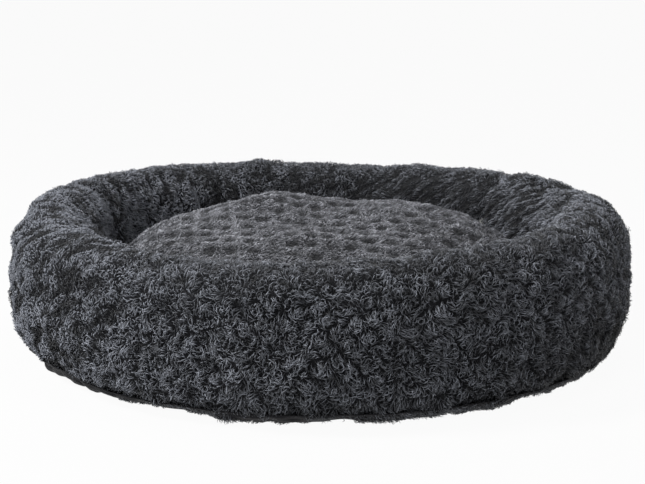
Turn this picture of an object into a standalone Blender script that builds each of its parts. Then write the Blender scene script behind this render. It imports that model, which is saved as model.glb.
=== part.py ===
"""A round plush pet bed: a fibre-filled ring on a cloth base, with a loose zipped cushion in it.

Metres, +Z up. The origin is the middle of the underside, and -Y is the front.
"""
import math

import bmesh
import bpy
from mathutils import Matrix, Vector

# The whole bed
OUTER_RADIUS = 0.450
BED_HEIGHT = 0.210
FACE_GAP = 0.0003

# The ring: its section is a rounded tube that is wider on its inner side
RING_OUTER_HALF_WIDTH = 0.063
RING_INNER_HALF_WIDTH = 0.075
CREST_RADIUS = OUTER_RADIUS - RING_OUTER_HALF_WIDTH
RING_WIDEST_HEIGHT = 0.104
RING_TOP_FULLNESS = 2.27
RING_FOOT_FULLNESS = 2.37
PLUSH_THICKNESS = 0.008
SEAM_ANGLES = (math.radians(37.5), math.radians(165.0), math.radians(285.0))
SEAM_DRAW_DEPTH = 0.007
SEAM_DRAW_SPREAD = 0.030

# The base: a cloth turned up round the ring's foot, wadding, and the floor of the nest
BASE_CLOTH_THICKNESS = 0.0015
BASE_BAND_HEIGHT = 0.0175
WADDING_THICKNESS = 0.0144
WADDING_EDGE_RADIUS = 0.004
FLOOR_CLOTH_THICKNESS = 0.0015

# The cushion: a crown over a bulging side that is drawn in to a band round its foot
CUSHION_SIDE_CLEARANCE = 0.020
CUSHION_BAND_SET_BACK = 0.024
CUSHION_RADIUS = CREST_RADIUS - RING_INNER_HALF_WIDTH - CUSHION_SIDE_CLEARANCE
CUSHION_BAND_RADIUS = CUSHION_RADIUS - CUSHION_BAND_SET_BACK
CUSHION_WIDEST_HEIGHT = 0.105
CUSHION_CROWN_HEIGHT = 0.181
CUSHION_CROWN_FULLNESS = 3.2
CUSHION_BAND_TOP = 0.062
CUSHION_BAND_FOOT = 0.034
CUSHION_FOOT_CORNER_WIDTH = 0.024
CUSHION_COVER_THICKNESS = 0.004
CUSHION_CLOTH_THICKNESS = 0.002
HUMP_HEIGHTS = (0.024, 0.014)
HUMP_PLACE_SHARES = ((-0.253, 0.342), (0.555, 0.318))
HUMP_WIDTH_SHARES = (0.298, 0.305)

# The zip in the cushion's band, at the back
ZIP_LINE_HEIGHT = 0.048
ZIP_LENGTH = 0.300
ZIP_MIDDLE_ANGLE = math.radians(90.0)
ZIP_WINDOW_HALF_HEIGHT = 0.012
ZIP_TAPE_THICKNESS = 0.0010
ZIP_TAPE_RECESS = 0.0015
TOOTH_PITCH = 0.005
TOOTH_CLEARANCE = 0.0004
TOOTH_THICKNESS = 0.0030
TOOTH_ROOT_RISE = 0.0019
TOOTH_TIP_REACH = 0.0015
TOOTH_TAPER = 0.0004
TOOTH_BEAD_HEIGHT = 0.0012
STOP_LENGTH = 0.004
STOP_STAND_OUT = 0.0015

# The slider and its pull
SLIDER_LENGTH = 0.011
SLIDER_CLEARANCE = 0.0005
SLIDER_PLATE_THICKNESS = 0.0015
SLIDER_FLANGE_THICKNESS = 0.0014
BAIL_WIDTH = 0.0016
BAIL_POST_LENGTH = 0.0012
BAIL_BAR_THICKNESS = 0.0012
PULL_LENGTH = 0.028
PULL_WIDTH = 0.008
PULL_THICKNESS = 0.0012
PULL_EYE_MARGIN = 0.0005

# Facets
SHARP_EDGE_ANGLE = math.radians(35)
STATION_COUNT = 48
OUTER_FACE_STEPS = (3, 4, 4, 2)
INNER_FACE_STEPS = (2, 3, 3, 2)
FOOT_POINTS = 4
CROWN_POINTS = 8
BULGE_POINTS = 4
CORNER_POINTS = 3
ZIP_TAPE_STEPS = 20
SLIDER_STEPS = 2

# Heights and radii that follow from the sizes above
WADDING_BASE = BASE_CLOTH_THICKNESS + FACE_GAP
WADDING_TOP = WADDING_BASE + WADDING_THICKNESS
FLOOR_BASE = WADDING_TOP + FACE_GAP
FLOOR_TOP = FLOOR_BASE + FLOOR_CLOTH_THICKNESS
RING_LIP_HEIGHT = FLOOR_TOP + FACE_GAP
CUSHION_BASE = FLOOR_TOP + FACE_GAP
TAPE_OUTER_RADIUS = CUSHION_BAND_RADIUS - ZIP_TAPE_RECESS
TAPE_INNER_RADIUS = TAPE_OUTER_RADIUS - ZIP_TAPE_THICKNESS
TOOTH_OUTER_RADIUS = TAPE_INNER_RADIUS + TOOTH_THICKNESS
BEAD_RISE = TOOTH_ROOT_RISE + TOOTH_BEAD_HEIGHT
SLIDER_PLATE_RADIUS = TOOTH_OUTER_RADIUS + SLIDER_CLEARANCE
SLIDER_TOP_RADIUS = SLIDER_PLATE_RADIUS + SLIDER_PLATE_THICKNESS
PULL_SWEEP_RADIUS = math.hypot(PULL_THICKNESS, PULL_THICKNESS) / 2
PULL_AXIS_RADIUS = SLIDER_TOP_RADIUS + FACE_GAP + PULL_SWEEP_RADIUS
BAIL_BAR_RADIUS = PULL_AXIS_RADIUS + PULL_SWEEP_RADIUS + FACE_GAP
ZIP_HALF_ANGLE = ZIP_LENGTH / (2 * TAPE_OUTER_RADIUS)
STOP_ANGLE = STOP_LENGTH / TAPE_OUTER_RADIUS
SLIDER_HALF_ANGLE = SLIDER_LENGTH / (2 * TAPE_OUTER_RADIUS)
GAP_ANGLE = FACE_GAP / TAPE_OUTER_RADIUS
SLIDER_REST_ANGLE = ZIP_MIDDLE_ANGLE - ZIP_HALF_ANGLE + STOP_ANGLE + SLIDER_HALF_ANGLE + 2 * GAP_ANGLE

STATIONS = [math.tau * step / STATION_COUNT for step in range(STATION_COUNT)]


def clear_scene():
    for item in list(bpy.data.objects):
        bpy.data.objects.remove(item, do_unlink=True)


def material(name, colour, roughness, metallic=0.0):
    made = bpy.data.materials.get(name) or bpy.data.materials.new(name)
    made.use_nodes = True
    shader = made.node_tree.nodes["Principled BSDF"]
    shader.inputs["Base Color"].default_value = (*colour, 1.0)
    shader.inputs["Roughness"].default_value = roughness
    shader.inputs["Metallic"].default_value = metallic
    return made


def plush():
    return material("charcoal_plush", (0.062, 0.066, 0.074), 0.95)


def cushion_plush():
    return material("cushion_plush", (0.090, 0.093, 0.102), 0.95)


def base_cloth_fabric():
    return material("base_cloth", (0.022, 0.021, 0.026), 0.80)


def lining_fabric():
    return material("lining_cloth", (0.040, 0.041, 0.046), 0.85)


def fibre():
    return material("white_fibre", (0.80, 0.80, 0.78), 1.0)


def zip_plastic():
    return material("zip_plastic", (0.020, 0.020, 0.022), 0.45)


def zip_metal():
    return material("zip_metal", (0.35, 0.35, 0.36), 0.35, 1.0)


def add_object(name, mesh, look, origin=(0, 0, 0)):
    """Close the bmesh into a named object whose origin is at the given point."""
    bmesh.ops.recalc_face_normals(mesh, faces=mesh.faces)
    place = Matrix.Translation(origin)
    bmesh.ops.transform(mesh, matrix=place.inverted(), verts=mesh.verts)
    data = bpy.data.meshes.new(name)
    mesh.to_mesh(data)
    mesh.free()
    data.shade_smooth()
    data.set_sharp_from_angle(angle=SHARP_EDGE_ANGLE)
    data.materials.append(look)
    made = bpy.data.objects.new(name, data)
    bpy.context.collection.objects.link(made)
    made.matrix_world = place
    return made


def skin(section_at, angles, full_turn):
    """Skin the (radius, height) sections that stand at these angles round the Z axis.

    A section that starts at radius 0 runs from pole to pole. Any other is a closed outline. Each
    four-sided facet is split from its lower corner, so that skins a gap apart are split alike.
    """
    mesh = bmesh.new()
    rows = []
    for angle in angles:
        row = []
        for place, (radius, height) in enumerate(section_at(angle)):
            if radius == 0 and rows:
                row.append(rows[0][place])
            else:
                row.append(mesh.verts.new((radius * math.cos(angle), radius * math.sin(angle), height)))
        rows.append(row)
    pole_to_pole = section_at(angles[0])[0][0] == 0
    pairs = list(zip(rows, rows[1:]))
    if full_turn:
        pairs.append((rows[-1], rows[0]))
    count = len(rows[0])
    for row, next_row in pairs:
        for place in range(count - 1 if pole_to_pole else count):
            after = (place + 1) % count
            low, high = (place, after) if row[place].co.z <= row[after].co.z else (after, place)
            for corners in (
                (row[low], next_row[low], next_row[high]),
                (row[low], next_row[high], row[high]),
            ):
                if len(set(corners)) == len(corners):
                    mesh.faces.new(corners)
    if not full_turn:
        mesh.faces.new(rows[0])
        mesh.faces.new(rows[-1])
    return mesh


def seam_draw(angle):
    """How far the ring is drawn in at this angle by the nearest seam between its panels."""
    nearest = min(abs(math.remainder(angle - seam, math.tau)) for seam in SEAM_ANGLES)
    return SEAM_DRAW_DEPTH * math.exp(-((nearest * CREST_RADIUS / SEAM_DRAW_SPREAD) ** 2))


def ring_turn(height, foot_inset):
    """The turn below the widest level at which the ring's section reaches this height."""
    drop_share = (RING_WIDEST_HEIGHT - height) / (RING_WIDEST_HEIGHT - foot_inset)
    return math.asin(min(1, drop_share ** (RING_FOOT_FULLNESS / 2)))


def ring_point(turn, inset, foot_inset, draw=0):
    """A point of the ring's section: turn 0 is the outer wall, pi/2 the crest, pi the inner wall."""
    across = math.cos(turn)
    up = math.sin(turn)
    half_width = RING_OUTER_HALF_WIDTH if across > 0 else RING_INNER_HALF_WIDTH
    if up > 0:
        fullness = RING_TOP_FULLNESS
        rise = BED_HEIGHT - RING_WIDEST_HEIGHT - inset
    else:
        fullness = RING_FOOT_FULLNESS
        rise = RING_WIDEST_HEIGHT - foot_inset
    radius = CREST_RADIUS + (half_width - inset) * math.copysign(abs(across) ** (2 / fullness), across)
    height = RING_WIDEST_HEIGHT + rise * math.copysign(abs(up) ** (2 / fullness), up)
    lift_share = (height - RING_LIP_HEIGHT) / (RING_WIDEST_HEIGHT - RING_LIP_HEIGHT)
    inward = Vector((CREST_RADIUS - radius, RING_WIDEST_HEIGHT - height))
    if inward.length > 0:
        inward = inward.normalized() * draw * min(1, max(0, lift_share))
    return radius + inward.x, height + inward.y


def even_turns(first, last, count):
    return [first + (last - first) * step / (count - 1) for step in range(count)]


def ring_turns(inset_at_foot, step_counts):
    """Turns of a face of the ring's cover, from its outer foot over the crest to its inner lip."""
    outer_foot = -ring_turn(BASE_BAND_HEIGHT + FACE_GAP, inset_at_foot)
    inner_lip = math.pi + ring_turn(RING_LIP_HEIGHT, inset_at_foot)
    marks = (outer_foot, 0, math.pi / 2, math.pi, inner_lip)
    turns = [outer_foot]
    for first, last, steps in zip(marks, marks[1:], step_counts):
        turns += even_turns(first, last, steps + 1)[1:]
    return turns


def cover_section(angle):
    draw = seam_draw(angle)
    outside = [ring_point(turn, 0, 0, draw) for turn in ring_turns(0, OUTER_FACE_STEPS)]
    inside = [
        ring_point(turn, PLUSH_THICKNESS, BASE_CLOTH_THICKNESS, draw)
        for turn in ring_turns(BASE_CLOTH_THICKNESS, INNER_FACE_STEPS)
    ]
    return outside + inside[::-1]


def add_ring_panels():
    """Three panels of plush, sewn end to end round the ring."""
    names = ("bolster_panel_back", "bolster_panel_left", "bolster_panel_right")
    half_gap = FACE_GAP / (2 * CREST_RADIUS)
    for place, name in enumerate(names):
        start = SEAM_ANGLES[place]
        end = SEAM_ANGLES[(place + 1) % len(SEAM_ANGLES)]
        if end < start:
            end += math.tau
        steps = round((end - start) * STATION_COUNT / math.tau)
        angles = even_turns(start, end, steps + 1)
        angles[0] += half_gap
        angles[-1] -= half_gap
        add_object(name, skin(cover_section, angles, False), plush())


def ring_fill_section(angle):
    draw = seam_draw(angle)
    foot_inset = BASE_CLOTH_THICKNESS + FACE_GAP
    covered = ring_turns(BASE_CLOTH_THICKNESS, INNER_FACE_STEPS)
    under = even_turns(covered[-1], covered[0] + math.tau, FOOT_POINTS + 2)[1:-1]
    return [ring_point(turn, PLUSH_THICKNESS + FACE_GAP, foot_inset, draw) for turn in covered + under]


def add_ring_fill():
    add_object("bolster_fill", skin(ring_fill_section, STATIONS, True), fibre())


def base_cloth_section(_angle):
    """From the middle of the underside out, up round the ring's foot, and back along the top."""
    top_turn = -ring_turn(BASE_BAND_HEIGHT, 0)
    inner_top_turn = -ring_turn(BASE_BAND_HEIGHT, BASE_CLOTH_THICKNESS)
    flat_turn = -math.pi / 2
    under = [ring_point(turn, 0, 0) for turn in even_turns(flat_turn, top_turn, FOOT_POINTS + 2)]
    over = [
        ring_point(turn, BASE_CLOTH_THICKNESS, BASE_CLOTH_THICKNESS)
        for turn in even_turns(flat_turn, inner_top_turn, FOOT_POINTS + 2)
    ]
    return [(0, 0), *under, *over[::-1], (0, BASE_CLOTH_THICKNESS)]


def add_base():
    """The cloth base, the wadding on it and the cloth floor of the nest."""
    floor_radius = ring_point(
        math.pi + ring_turn(RING_LIP_HEIGHT, BASE_CLOTH_THICKNESS), PLUSH_THICKNESS, BASE_CLOTH_THICKNESS
    )[0] - FACE_GAP
    edge = WADDING_EDGE_RADIUS

    def wadding_section(_angle):
        lower = [
            (floor_radius - edge + edge * math.sin(turn), WADDING_BASE + edge - edge * math.cos(turn))
            for turn in even_turns(0, math.pi / 2, CORNER_POINTS)
        ]
        return [(0, WADDING_BASE), *lower, (floor_radius, WADDING_TOP), (0, WADDING_TOP)]

    def floor_section(_angle):
        return [(0, FLOOR_BASE), (floor_radius, FLOOR_BASE), (floor_radius, FLOOR_TOP), (0, FLOOR_TOP)]

    add_object("base_cloth", skin(base_cloth_section, STATIONS, True), base_cloth_fabric())
    add_object("base_wadding", skin(wadding_section, STATIONS, True), fibre())
    add_object("floor_cloth", skin(floor_section, STATIONS, True), lining_fabric())


def hump(radius, angle):
    """How far the cushion's lumpy crown stands above its even dome here."""
    x_share = radius * math.cos(angle) / CUSHION_RADIUS
    y_share = radius * math.sin(angle) / CUSHION_RADIUS
    rise = 0
    for height, (middle_x, middle_y), width in zip(HUMP_HEIGHTS, HUMP_PLACE_SHARES, HUMP_WIDTH_SHARES):
        rise += height * math.exp(-(((x_share - middle_x) ** 2 + (y_share - middle_y) ** 2) / width ** 2))
    return rise


def cushion_face(angle, inset):
    """One face of the cushion's top, from the crown's middle down to the band, set in by inset."""
    points = []
    for turn in even_turns(math.pi / 2, 0, CROWN_POINTS + 1):
        out_share = math.cos(turn) ** (2 / CUSHION_CROWN_FULLNESS) if turn < math.pi / 2 else 0
        up_share = math.sin(turn) ** (2 / CUSHION_CROWN_FULLNESS)
        height = CUSHION_WIDEST_HEIGHT + (CUSHION_CROWN_HEIGHT - CUSHION_WIDEST_HEIGHT - inset) * up_share
        lump = hump(CUSHION_RADIUS * out_share, angle) * up_share
        points.append(((CUSHION_RADIUS - inset) * out_share, height + lump))
    bulge = CUSHION_RADIUS - CUSHION_BAND_RADIUS
    drop = CUSHION_WIDEST_HEIGHT - CUSHION_BAND_TOP - inset
    for turn in even_turns(0, math.pi / 2, BULGE_POINTS)[1:]:
        radius = CUSHION_BAND_RADIUS - inset + bulge * math.cos(turn)
        points.append((radius, CUSHION_WIDEST_HEIGHT - drop * math.sin(turn)))
    return points


def cushion_top_section(angle):
    seam = ZIP_LINE_HEIGHT + FACE_GAP / 2
    outside = [*cushion_face(angle, 0), (CUSHION_BAND_RADIUS, seam)]
    inset = CUSHION_COVER_THICKNESS
    inside = [*cushion_face(angle, inset), (CUSHION_BAND_RADIUS - inset, seam)]
    return outside + inside[::-1]


def cushion_foot(inset):
    """One face of the cushion's underside, from its middle out and up to the band's foot."""
    width = CUSHION_FOOT_CORNER_WIDTH - inset
    rise = CUSHION_BAND_FOOT - CUSHION_BASE - inset
    middle = CUSHION_BAND_RADIUS - CUSHION_FOOT_CORNER_WIDTH
    corner = [
        (middle + width * math.sin(turn), CUSHION_BAND_FOOT - rise * math.cos(turn))
        for turn in even_turns(0, math.pi / 2, CORNER_POINTS + 1)
    ]
    return [(0, CUSHION_BASE + inset), *corner]


def cushion_bottom_section(_angle):
    seam = ZIP_LINE_HEIGHT - FACE_GAP / 2
    inset = CUSHION_CLOTH_THICKNESS
    outside = [*cushion_foot(0), (CUSHION_BAND_RADIUS, seam)]
    inside = [*cushion_foot(inset), (CUSHION_BAND_RADIUS - inset, seam)]
    return outside + inside[::-1]


def cushion_fill_section(angle):
    top_inset = CUSHION_COVER_THICKNESS + FACE_GAP
    foot = cushion_foot(CUSHION_CLOTH_THICKNESS + FACE_GAP)
    band_foot = [(radius, height) for radius, height in foot if radius < CUSHION_BAND_RADIUS - top_inset]
    return cushion_face(angle, top_inset) + band_foot[::-1]


def band_block(inner_radius, outer_radius, low, high, start, end, steps):
    """A block bent round the Z axis, such as a tape, a stop or the slider's plate."""
    outline = [(inner_radius, low), (outer_radius, low), (outer_radius, high), (inner_radius, high)]
    return skin(lambda _angle: outline, even_turns(start, end, steps + 1), False)


def cut_by(target, cutter):
    cut = target.modifiers.new("zip_window", "BOOLEAN")
    cut.operation = "DIFFERENCE"
    cut.solver = "EXACT"
    cut.object = cutter


def add_cushion():
    """The plush top, the cloth underside and the fibre between them."""
    top = add_object("cushion_top", skin(cushion_top_section, STATIONS, True), cushion_plush())
    bottom = add_object("cushion_bottom", skin(cushion_bottom_section, STATIONS, True), lining_fabric())
    add_object("cushion_fill", skin(cushion_fill_section, STATIONS, True), fibre())
    window = add_object(
        "zip_window_cutter",
        band_block(
            CUSHION_BAND_RADIUS - 2 * CUSHION_COVER_THICKNESS,
            CUSHION_BAND_RADIUS + CUSHION_COVER_THICKNESS,
            ZIP_LINE_HEIGHT - ZIP_WINDOW_HALF_HEIGHT,
            ZIP_LINE_HEIGHT + ZIP_WINDOW_HALF_HEIGHT,
            ZIP_MIDDLE_ANGLE - ZIP_HALF_ANGLE,
            ZIP_MIDDLE_ANGLE + ZIP_HALF_ANGLE,
            ZIP_TAPE_STEPS,
        ),
        zip_plastic(),
    )
    window.hide_render = True
    window.display_type = "WIRE"
    cut_by(top, window)
    cut_by(bottom, window)


def add_zip_tapes():
    """The two tapes that fill the window on either side of the teeth."""
    start = ZIP_MIDDLE_ANGLE - ZIP_HALF_ANGLE + GAP_ANGLE
    end = ZIP_MIDDLE_ANGLE + ZIP_HALF_ANGLE - GAP_ANGLE
    near = BEAD_RISE + FACE_GAP
    far = ZIP_WINDOW_HALF_HEIGHT - FACE_GAP
    for name, side in (("zip_tape_upper", 1), ("zip_tape_lower", -1)):
        low, high = sorted((ZIP_LINE_HEIGHT + side * near, ZIP_LINE_HEIGHT + side * far))
        tape = band_block(TAPE_INNER_RADIUS, TAPE_OUTER_RADIUS, low, high, start, end, ZIP_TAPE_STEPS)
        add_object(name, tape, zip_plastic())


def tooth_half_width(rise):
    """Half a tooth's width at this rise above the zip's line, widening towards its tip."""
    middle = (TOOTH_PITCH / 2 - TOOTH_CLEARANCE) / 2
    down_share = (TOOTH_ROOT_RISE - rise) / (TOOTH_ROOT_RISE + TOOTH_TIP_REACH)
    return middle - TOOTH_TAPER + 2 * TOOTH_TAPER * down_share


def add_tooth_row(name, side, first_angle, count):
    """A bead along the tape's edge with one tooth a pitch, each wider at its tip than at its root."""
    mesh = bmesh.new()
    made = {}

    def corner(place, along, rise):
        angle = first_angle + (place * TOOTH_PITCH + along) / TAPE_OUTER_RADIUS
        key = (round(angle / GAP_ANGLE), round(rise / FACE_GAP, 2))
        if key not in made:
            across = (TAPE_INNER_RADIUS * math.cos(angle), TAPE_INNER_RADIUS * math.sin(angle))
            made[key] = mesh.verts.new((*across, ZIP_LINE_HEIGHT + side * rise))
        return made[key]

    root = tooth_half_width(TOOTH_ROOT_RISE)
    tip = tooth_half_width(-TOOTH_TIP_REACH)
    middle = TOOTH_PITCH / 2
    for place in range(count):
        bead = [(0, BEAD_RISE), (TOOTH_PITCH, BEAD_RISE), (TOOTH_PITCH, TOOTH_ROOT_RISE)]
        bead += [(middle + root, TOOTH_ROOT_RISE), (middle - root, TOOTH_ROOT_RISE), (0, TOOTH_ROOT_RISE)]
        tooth = [(middle - root, TOOTH_ROOT_RISE), (middle + root, TOOTH_ROOT_RISE)]
        tooth += [(middle + tip, -TOOTH_TIP_REACH), (middle - tip, -TOOTH_TIP_REACH)]
        for outline in (bead, tooth):
            mesh.faces.new([corner(place, along, rise) for along, rise in outline])
    swelled = bmesh.ops.extrude_face_region(mesh, geom=list(mesh.faces), use_keep_orig=True)
    for vertex in (item for item in swelled["geom"] if isinstance(item, bmesh.types.BMVert)):
        flat = vertex.co.xy.normalized() * TOOTH_OUTER_RADIUS
        vertex.co = (flat.x, flat.y, vertex.co.z)
    add_object(name, mesh, zip_plastic())


def add_zip_teeth():
    """Two rows of teeth that mesh, each tooth midway between two of the other row."""
    room = 2 * (ZIP_HALF_ANGLE - STOP_ANGLE - 2 * GAP_ANGLE) * TAPE_OUTER_RADIUS
    row_shift = TOOTH_PITCH / 2
    count = int((room - row_shift) / TOOTH_PITCH)
    first = ZIP_MIDDLE_ANGLE - (count * TOOTH_PITCH + row_shift) / (2 * TAPE_OUTER_RADIUS)
    add_tooth_row("zip_teeth_upper", 1, first, count)
    add_tooth_row("zip_teeth_lower", -1, first + row_shift / TAPE_OUTER_RADIUS, count)


def add_zip_stops():
    """A block past each end of the teeth that stands out far enough to meet the slider."""
    start = ZIP_MIDDLE_ANGLE - ZIP_HALF_ANGLE + GAP_ANGLE
    end = ZIP_MIDDLE_ANGLE + ZIP_HALF_ANGLE - GAP_ANGLE
    for name, first in (("zip_stop_closed_end", start), ("zip_stop_open_end", end - STOP_ANGLE)):
        stop = band_block(
            TAPE_INNER_RADIUS,
            TOOTH_OUTER_RADIUS + STOP_STAND_OUT,
            ZIP_LINE_HEIGHT - BEAD_RISE,
            ZIP_LINE_HEIGHT + BEAD_RISE,
            first,
            first + STOP_ANGLE,
            1,
        )
        add_object(name, stop, zip_plastic())


def slider_section(_angle):
    """A saddle over the teeth: a plate with a flange down each side."""
    inside = BEAD_RISE + SLIDER_CLEARANCE
    outside = inside + SLIDER_FLANGE_THICKNESS
    flange_radius = TAPE_OUTER_RADIUS + SLIDER_CLEARANCE
    outline = [
        (flange_radius, outside),
        (SLIDER_TOP_RADIUS, outside),
        (SLIDER_TOP_RADIUS, -outside),
        (flange_radius, -outside),
        (flange_radius, -inside),
        (SLIDER_PLATE_RADIUS, -inside),
        (SLIDER_PLATE_RADIUS, inside),
        (flange_radius, inside),
    ]
    return [(radius, ZIP_LINE_HEIGHT + rise) for radius, rise in outline]


def add_slider():
    """The slider with the bail over its middle that holds the pull."""
    start = SLIDER_REST_ANGLE - SLIDER_HALF_ANGLE
    end = SLIDER_REST_ANGLE + SLIDER_HALF_ANGLE
    plate = skin(slider_section, even_turns(start, end, SLIDER_STEPS + 1), False)
    slider = add_object("zip_slider", plate, zip_metal())
    post_angle = BAIL_POST_LENGTH / TAPE_OUTER_RADIUS
    foot = SLIDER_PLATE_RADIUS + SLIDER_PLATE_THICKNESS / 2
    top = BAIL_BAR_RADIUS + BAIL_BAR_THICKNESS
    low = ZIP_LINE_HEIGHT - BAIL_WIDTH / 2
    high = ZIP_LINE_HEIGHT + BAIL_WIDTH / 2
    first = start + post_angle
    last = end - post_angle
    bail = skin(
        lambda angle: bail_section(angle, first + post_angle, last - post_angle, foot, top, low, high),
        [first, first + post_angle, first + post_angle + GAP_ANGLE, SLIDER_REST_ANGLE,
         last - post_angle - GAP_ANGLE, last - post_angle, last],
        False,
    )
    bail_piece = add_object("slider_bail_shape", bail, zip_metal())
    bail_piece.hide_render = True
    bail_piece.display_type = "WIRE"
    join = slider.modifiers.new("bail", "BOOLEAN")
    join.operation = "UNION"
    join.solver = "EXACT"
    join.object = bail_piece


def bail_section(angle, window_start, window_end, foot, top, low, high):
    """The bail's section: full height in its posts, only the bar between them."""
    bottom = BAIL_BAR_RADIUS if window_start < angle < window_end else foot
    return [(bottom, low), (top, low), (top, high), (bottom, high)]


def add_pull():
    """A flat pull whose cross-bar lies in the bail, folded back along the closed teeth."""
    half = PULL_THICKNESS / 2
    eye_half_width = BAIL_WIDTH / 2 + PULL_EYE_MARGIN
    eye_end = SLIDER_LENGTH / 2 + PULL_EYE_MARGIN
    marks_along = (-half, half, eye_end, PULL_LENGTH)
    marks_across = (-PULL_WIDTH / 2, -eye_half_width, eye_half_width, PULL_WIDTH / 2)
    mesh = bmesh.new()
    grid = [[mesh.verts.new((-half, along, across)) for across in marks_across] for along in marks_along]
    for row, next_row in zip(grid, grid[1:]):
        for place in range(len(marks_across) - 1):
            if row is grid[1] and place == 1:
                continue
            mesh.faces.new((row[place], row[place + 1], next_row[place + 1], next_row[place]))
    raised = bmesh.ops.extrude_face_region(mesh, geom=list(mesh.faces), use_keep_orig=True)
    moved = [item for item in raised["geom"] if isinstance(item, bmesh.types.BMVert)]
    bmesh.ops.translate(mesh, verts=moved, vec=(PULL_THICKNESS, 0, 0))
    pull = add_object("zip_pull", mesh, zip_metal())
    out = Vector((math.cos(SLIDER_REST_ANGLE), math.sin(SLIDER_REST_ANGLE), 0))
    pull.location = out * PULL_AXIS_RADIUS + Vector((0, 0, ZIP_LINE_HEIGHT))
    pull.rotation_euler = (0, 0, SLIDER_REST_ANGLE)


def main():
    clear_scene()
    add_base()
    add_ring_fill()
    add_ring_panels()
    add_cushion()
    add_zip_tapes()
    add_zip_teeth()
    add_zip_stops()
    add_slider()
    add_pull()


main()
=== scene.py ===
"""Looks for the round plush pet bed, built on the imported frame. Metres, +Z up, -Y the front."""
import itertools
import math

import bmesh
import bpy
import numpy as np
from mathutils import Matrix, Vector
from mathutils.bvhtree import BVHTree
from mathutils.kdtree import KDTree


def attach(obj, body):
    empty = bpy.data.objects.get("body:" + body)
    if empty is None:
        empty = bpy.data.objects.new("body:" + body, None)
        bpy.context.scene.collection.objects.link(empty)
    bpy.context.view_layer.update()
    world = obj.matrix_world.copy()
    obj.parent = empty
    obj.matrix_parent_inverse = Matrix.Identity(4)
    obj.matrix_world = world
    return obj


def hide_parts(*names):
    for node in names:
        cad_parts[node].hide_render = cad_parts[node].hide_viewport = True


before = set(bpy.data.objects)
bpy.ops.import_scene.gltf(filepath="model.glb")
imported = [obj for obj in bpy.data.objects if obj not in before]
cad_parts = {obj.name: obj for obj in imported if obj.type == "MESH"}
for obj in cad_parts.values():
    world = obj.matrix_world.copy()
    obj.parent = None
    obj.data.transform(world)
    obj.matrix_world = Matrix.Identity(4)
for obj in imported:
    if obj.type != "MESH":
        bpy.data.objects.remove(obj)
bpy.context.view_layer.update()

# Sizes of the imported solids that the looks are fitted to
BED_HEIGHT = 0.210
CREST_RADIUS = 0.387
RING_OUTER_HALF_WIDTH = 0.063
RING_INNER_HALF_WIDTH = 0.075
RING_WIDEST_HEIGHT = 0.104
RING_TOP_FULLNESS = 2.27
RING_FOOT_FULLNESS = 2.37
RING_LIP_HEIGHT = 0.0186
SEAM_ANGLES = (math.radians(37.5), math.radians(165.0), math.radians(285.0))
WADDING_BASE = 0.0018
WADDING_TOP = 0.0162
FLOOR_BASE = 0.0165
FLOOR_TOP = 0.0180
FLOOR_RADIUS = 0.340
CUSHION_RADIUS = 0.292
CUSHION_WIDEST_HEIGHT = 0.105
CUSHION_CROWN_RISE = 0.076
CUSHION_FULLNESS = 3.2
CUSHION_BAND_RADIUS = 0.268
CUSHION_BAND_TOP = 0.062
CUSHION_BAND_FOOT = 0.034
CUSHION_FOOT_CORNER = 0.024
CUSHION_BASE = 0.0183
ZIP_HEIGHT = 0.048
ZIP_MIDDLE = math.radians(90.0)
ZIP_HALF_ANGLE = 0.300 / (2 * 0.2665)
WINDOW_HALF_HEIGHT = 0.012

# Humps of the cushion's crown: each one's rise, its place as x and y, and its width
HUMPS = ((0.024, -0.074, 0.100, 0.087), (0.014, 0.162, 0.093, 0.089))

# Camera
IMAGE_WIDTH = 645
TARGET_HEIGHT = 0.126
CAMERA_DISTANCE = 2.025
CAMERA_TILT = 0.211
FOCAL_PIXELS = 1363.3
SHIFT_X = 0.0047
SHIFT_Y = 0.0183

# Small sums on numbers, points and directions
UP = np.array([0.0, 0.0, 1.0])
LEVEL = (1, 1, 0)


def ease(low, high, value):
    """A smooth step from 0 at low to 1 at high."""
    part = np.clip((value - low) / (high - low), 0.0, 1.0)
    return part * part * (3 - 2 * part)


def bell(value, width):
    """A share that is 1 where the value is 0 and fades over the width."""
    return np.exp(-((value / width) ** 2))


def from_angle(angle, middle):
    return np.mod(angle - middle + math.pi, math.tau) - math.pi


def near_angle(angle, middle, width):
    """A share that is 1 at the middle angle and fades over the width, both in degrees."""
    return bell(from_angle(angle, math.radians(middle)), math.radians(width))


def signed_power(value, power):
    return np.sign(value) * np.abs(value) ** power


def unit(vectors):
    return vectors / np.maximum(np.linalg.norm(vectors, axis=-1, keepdims=True), 1e-12)


def across_to(vectors, normals):
    """Unit vectors, with what lies along the normals taken out."""
    return unit(vectors - (vectors * normals).sum(axis=-1, keepdims=True) * normals)


def angle_of(points):
    return np.arctan2(points[..., 1], points[..., 0])


def radius_of(points):
    return np.hypot(points[..., 0], points[..., 1])


def polar(radius, angle, height):
    """Points at this radius and angle round the bed's axis, at this height."""
    return np.stack(np.broadcast_arrays(radius * np.cos(angle), radius * np.sin(angle), height), axis=-1)


def even_angles(count):
    return np.arange(count) * math.tau / count


def run_along(across, up):
    """How far each point of a flat line lies from its start, measured along the line."""
    return np.concatenate([[0], np.cumsum(np.hypot(np.diff(across), np.diff(up)))])


def spokes(count, side, up):
    """Directions that turn evenly from each side towards its up and on round."""
    turns = even_angles(count)[None, :, None]
    return np.cos(turns) * side[:, None] + np.sin(turns) * up[:, None]


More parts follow.
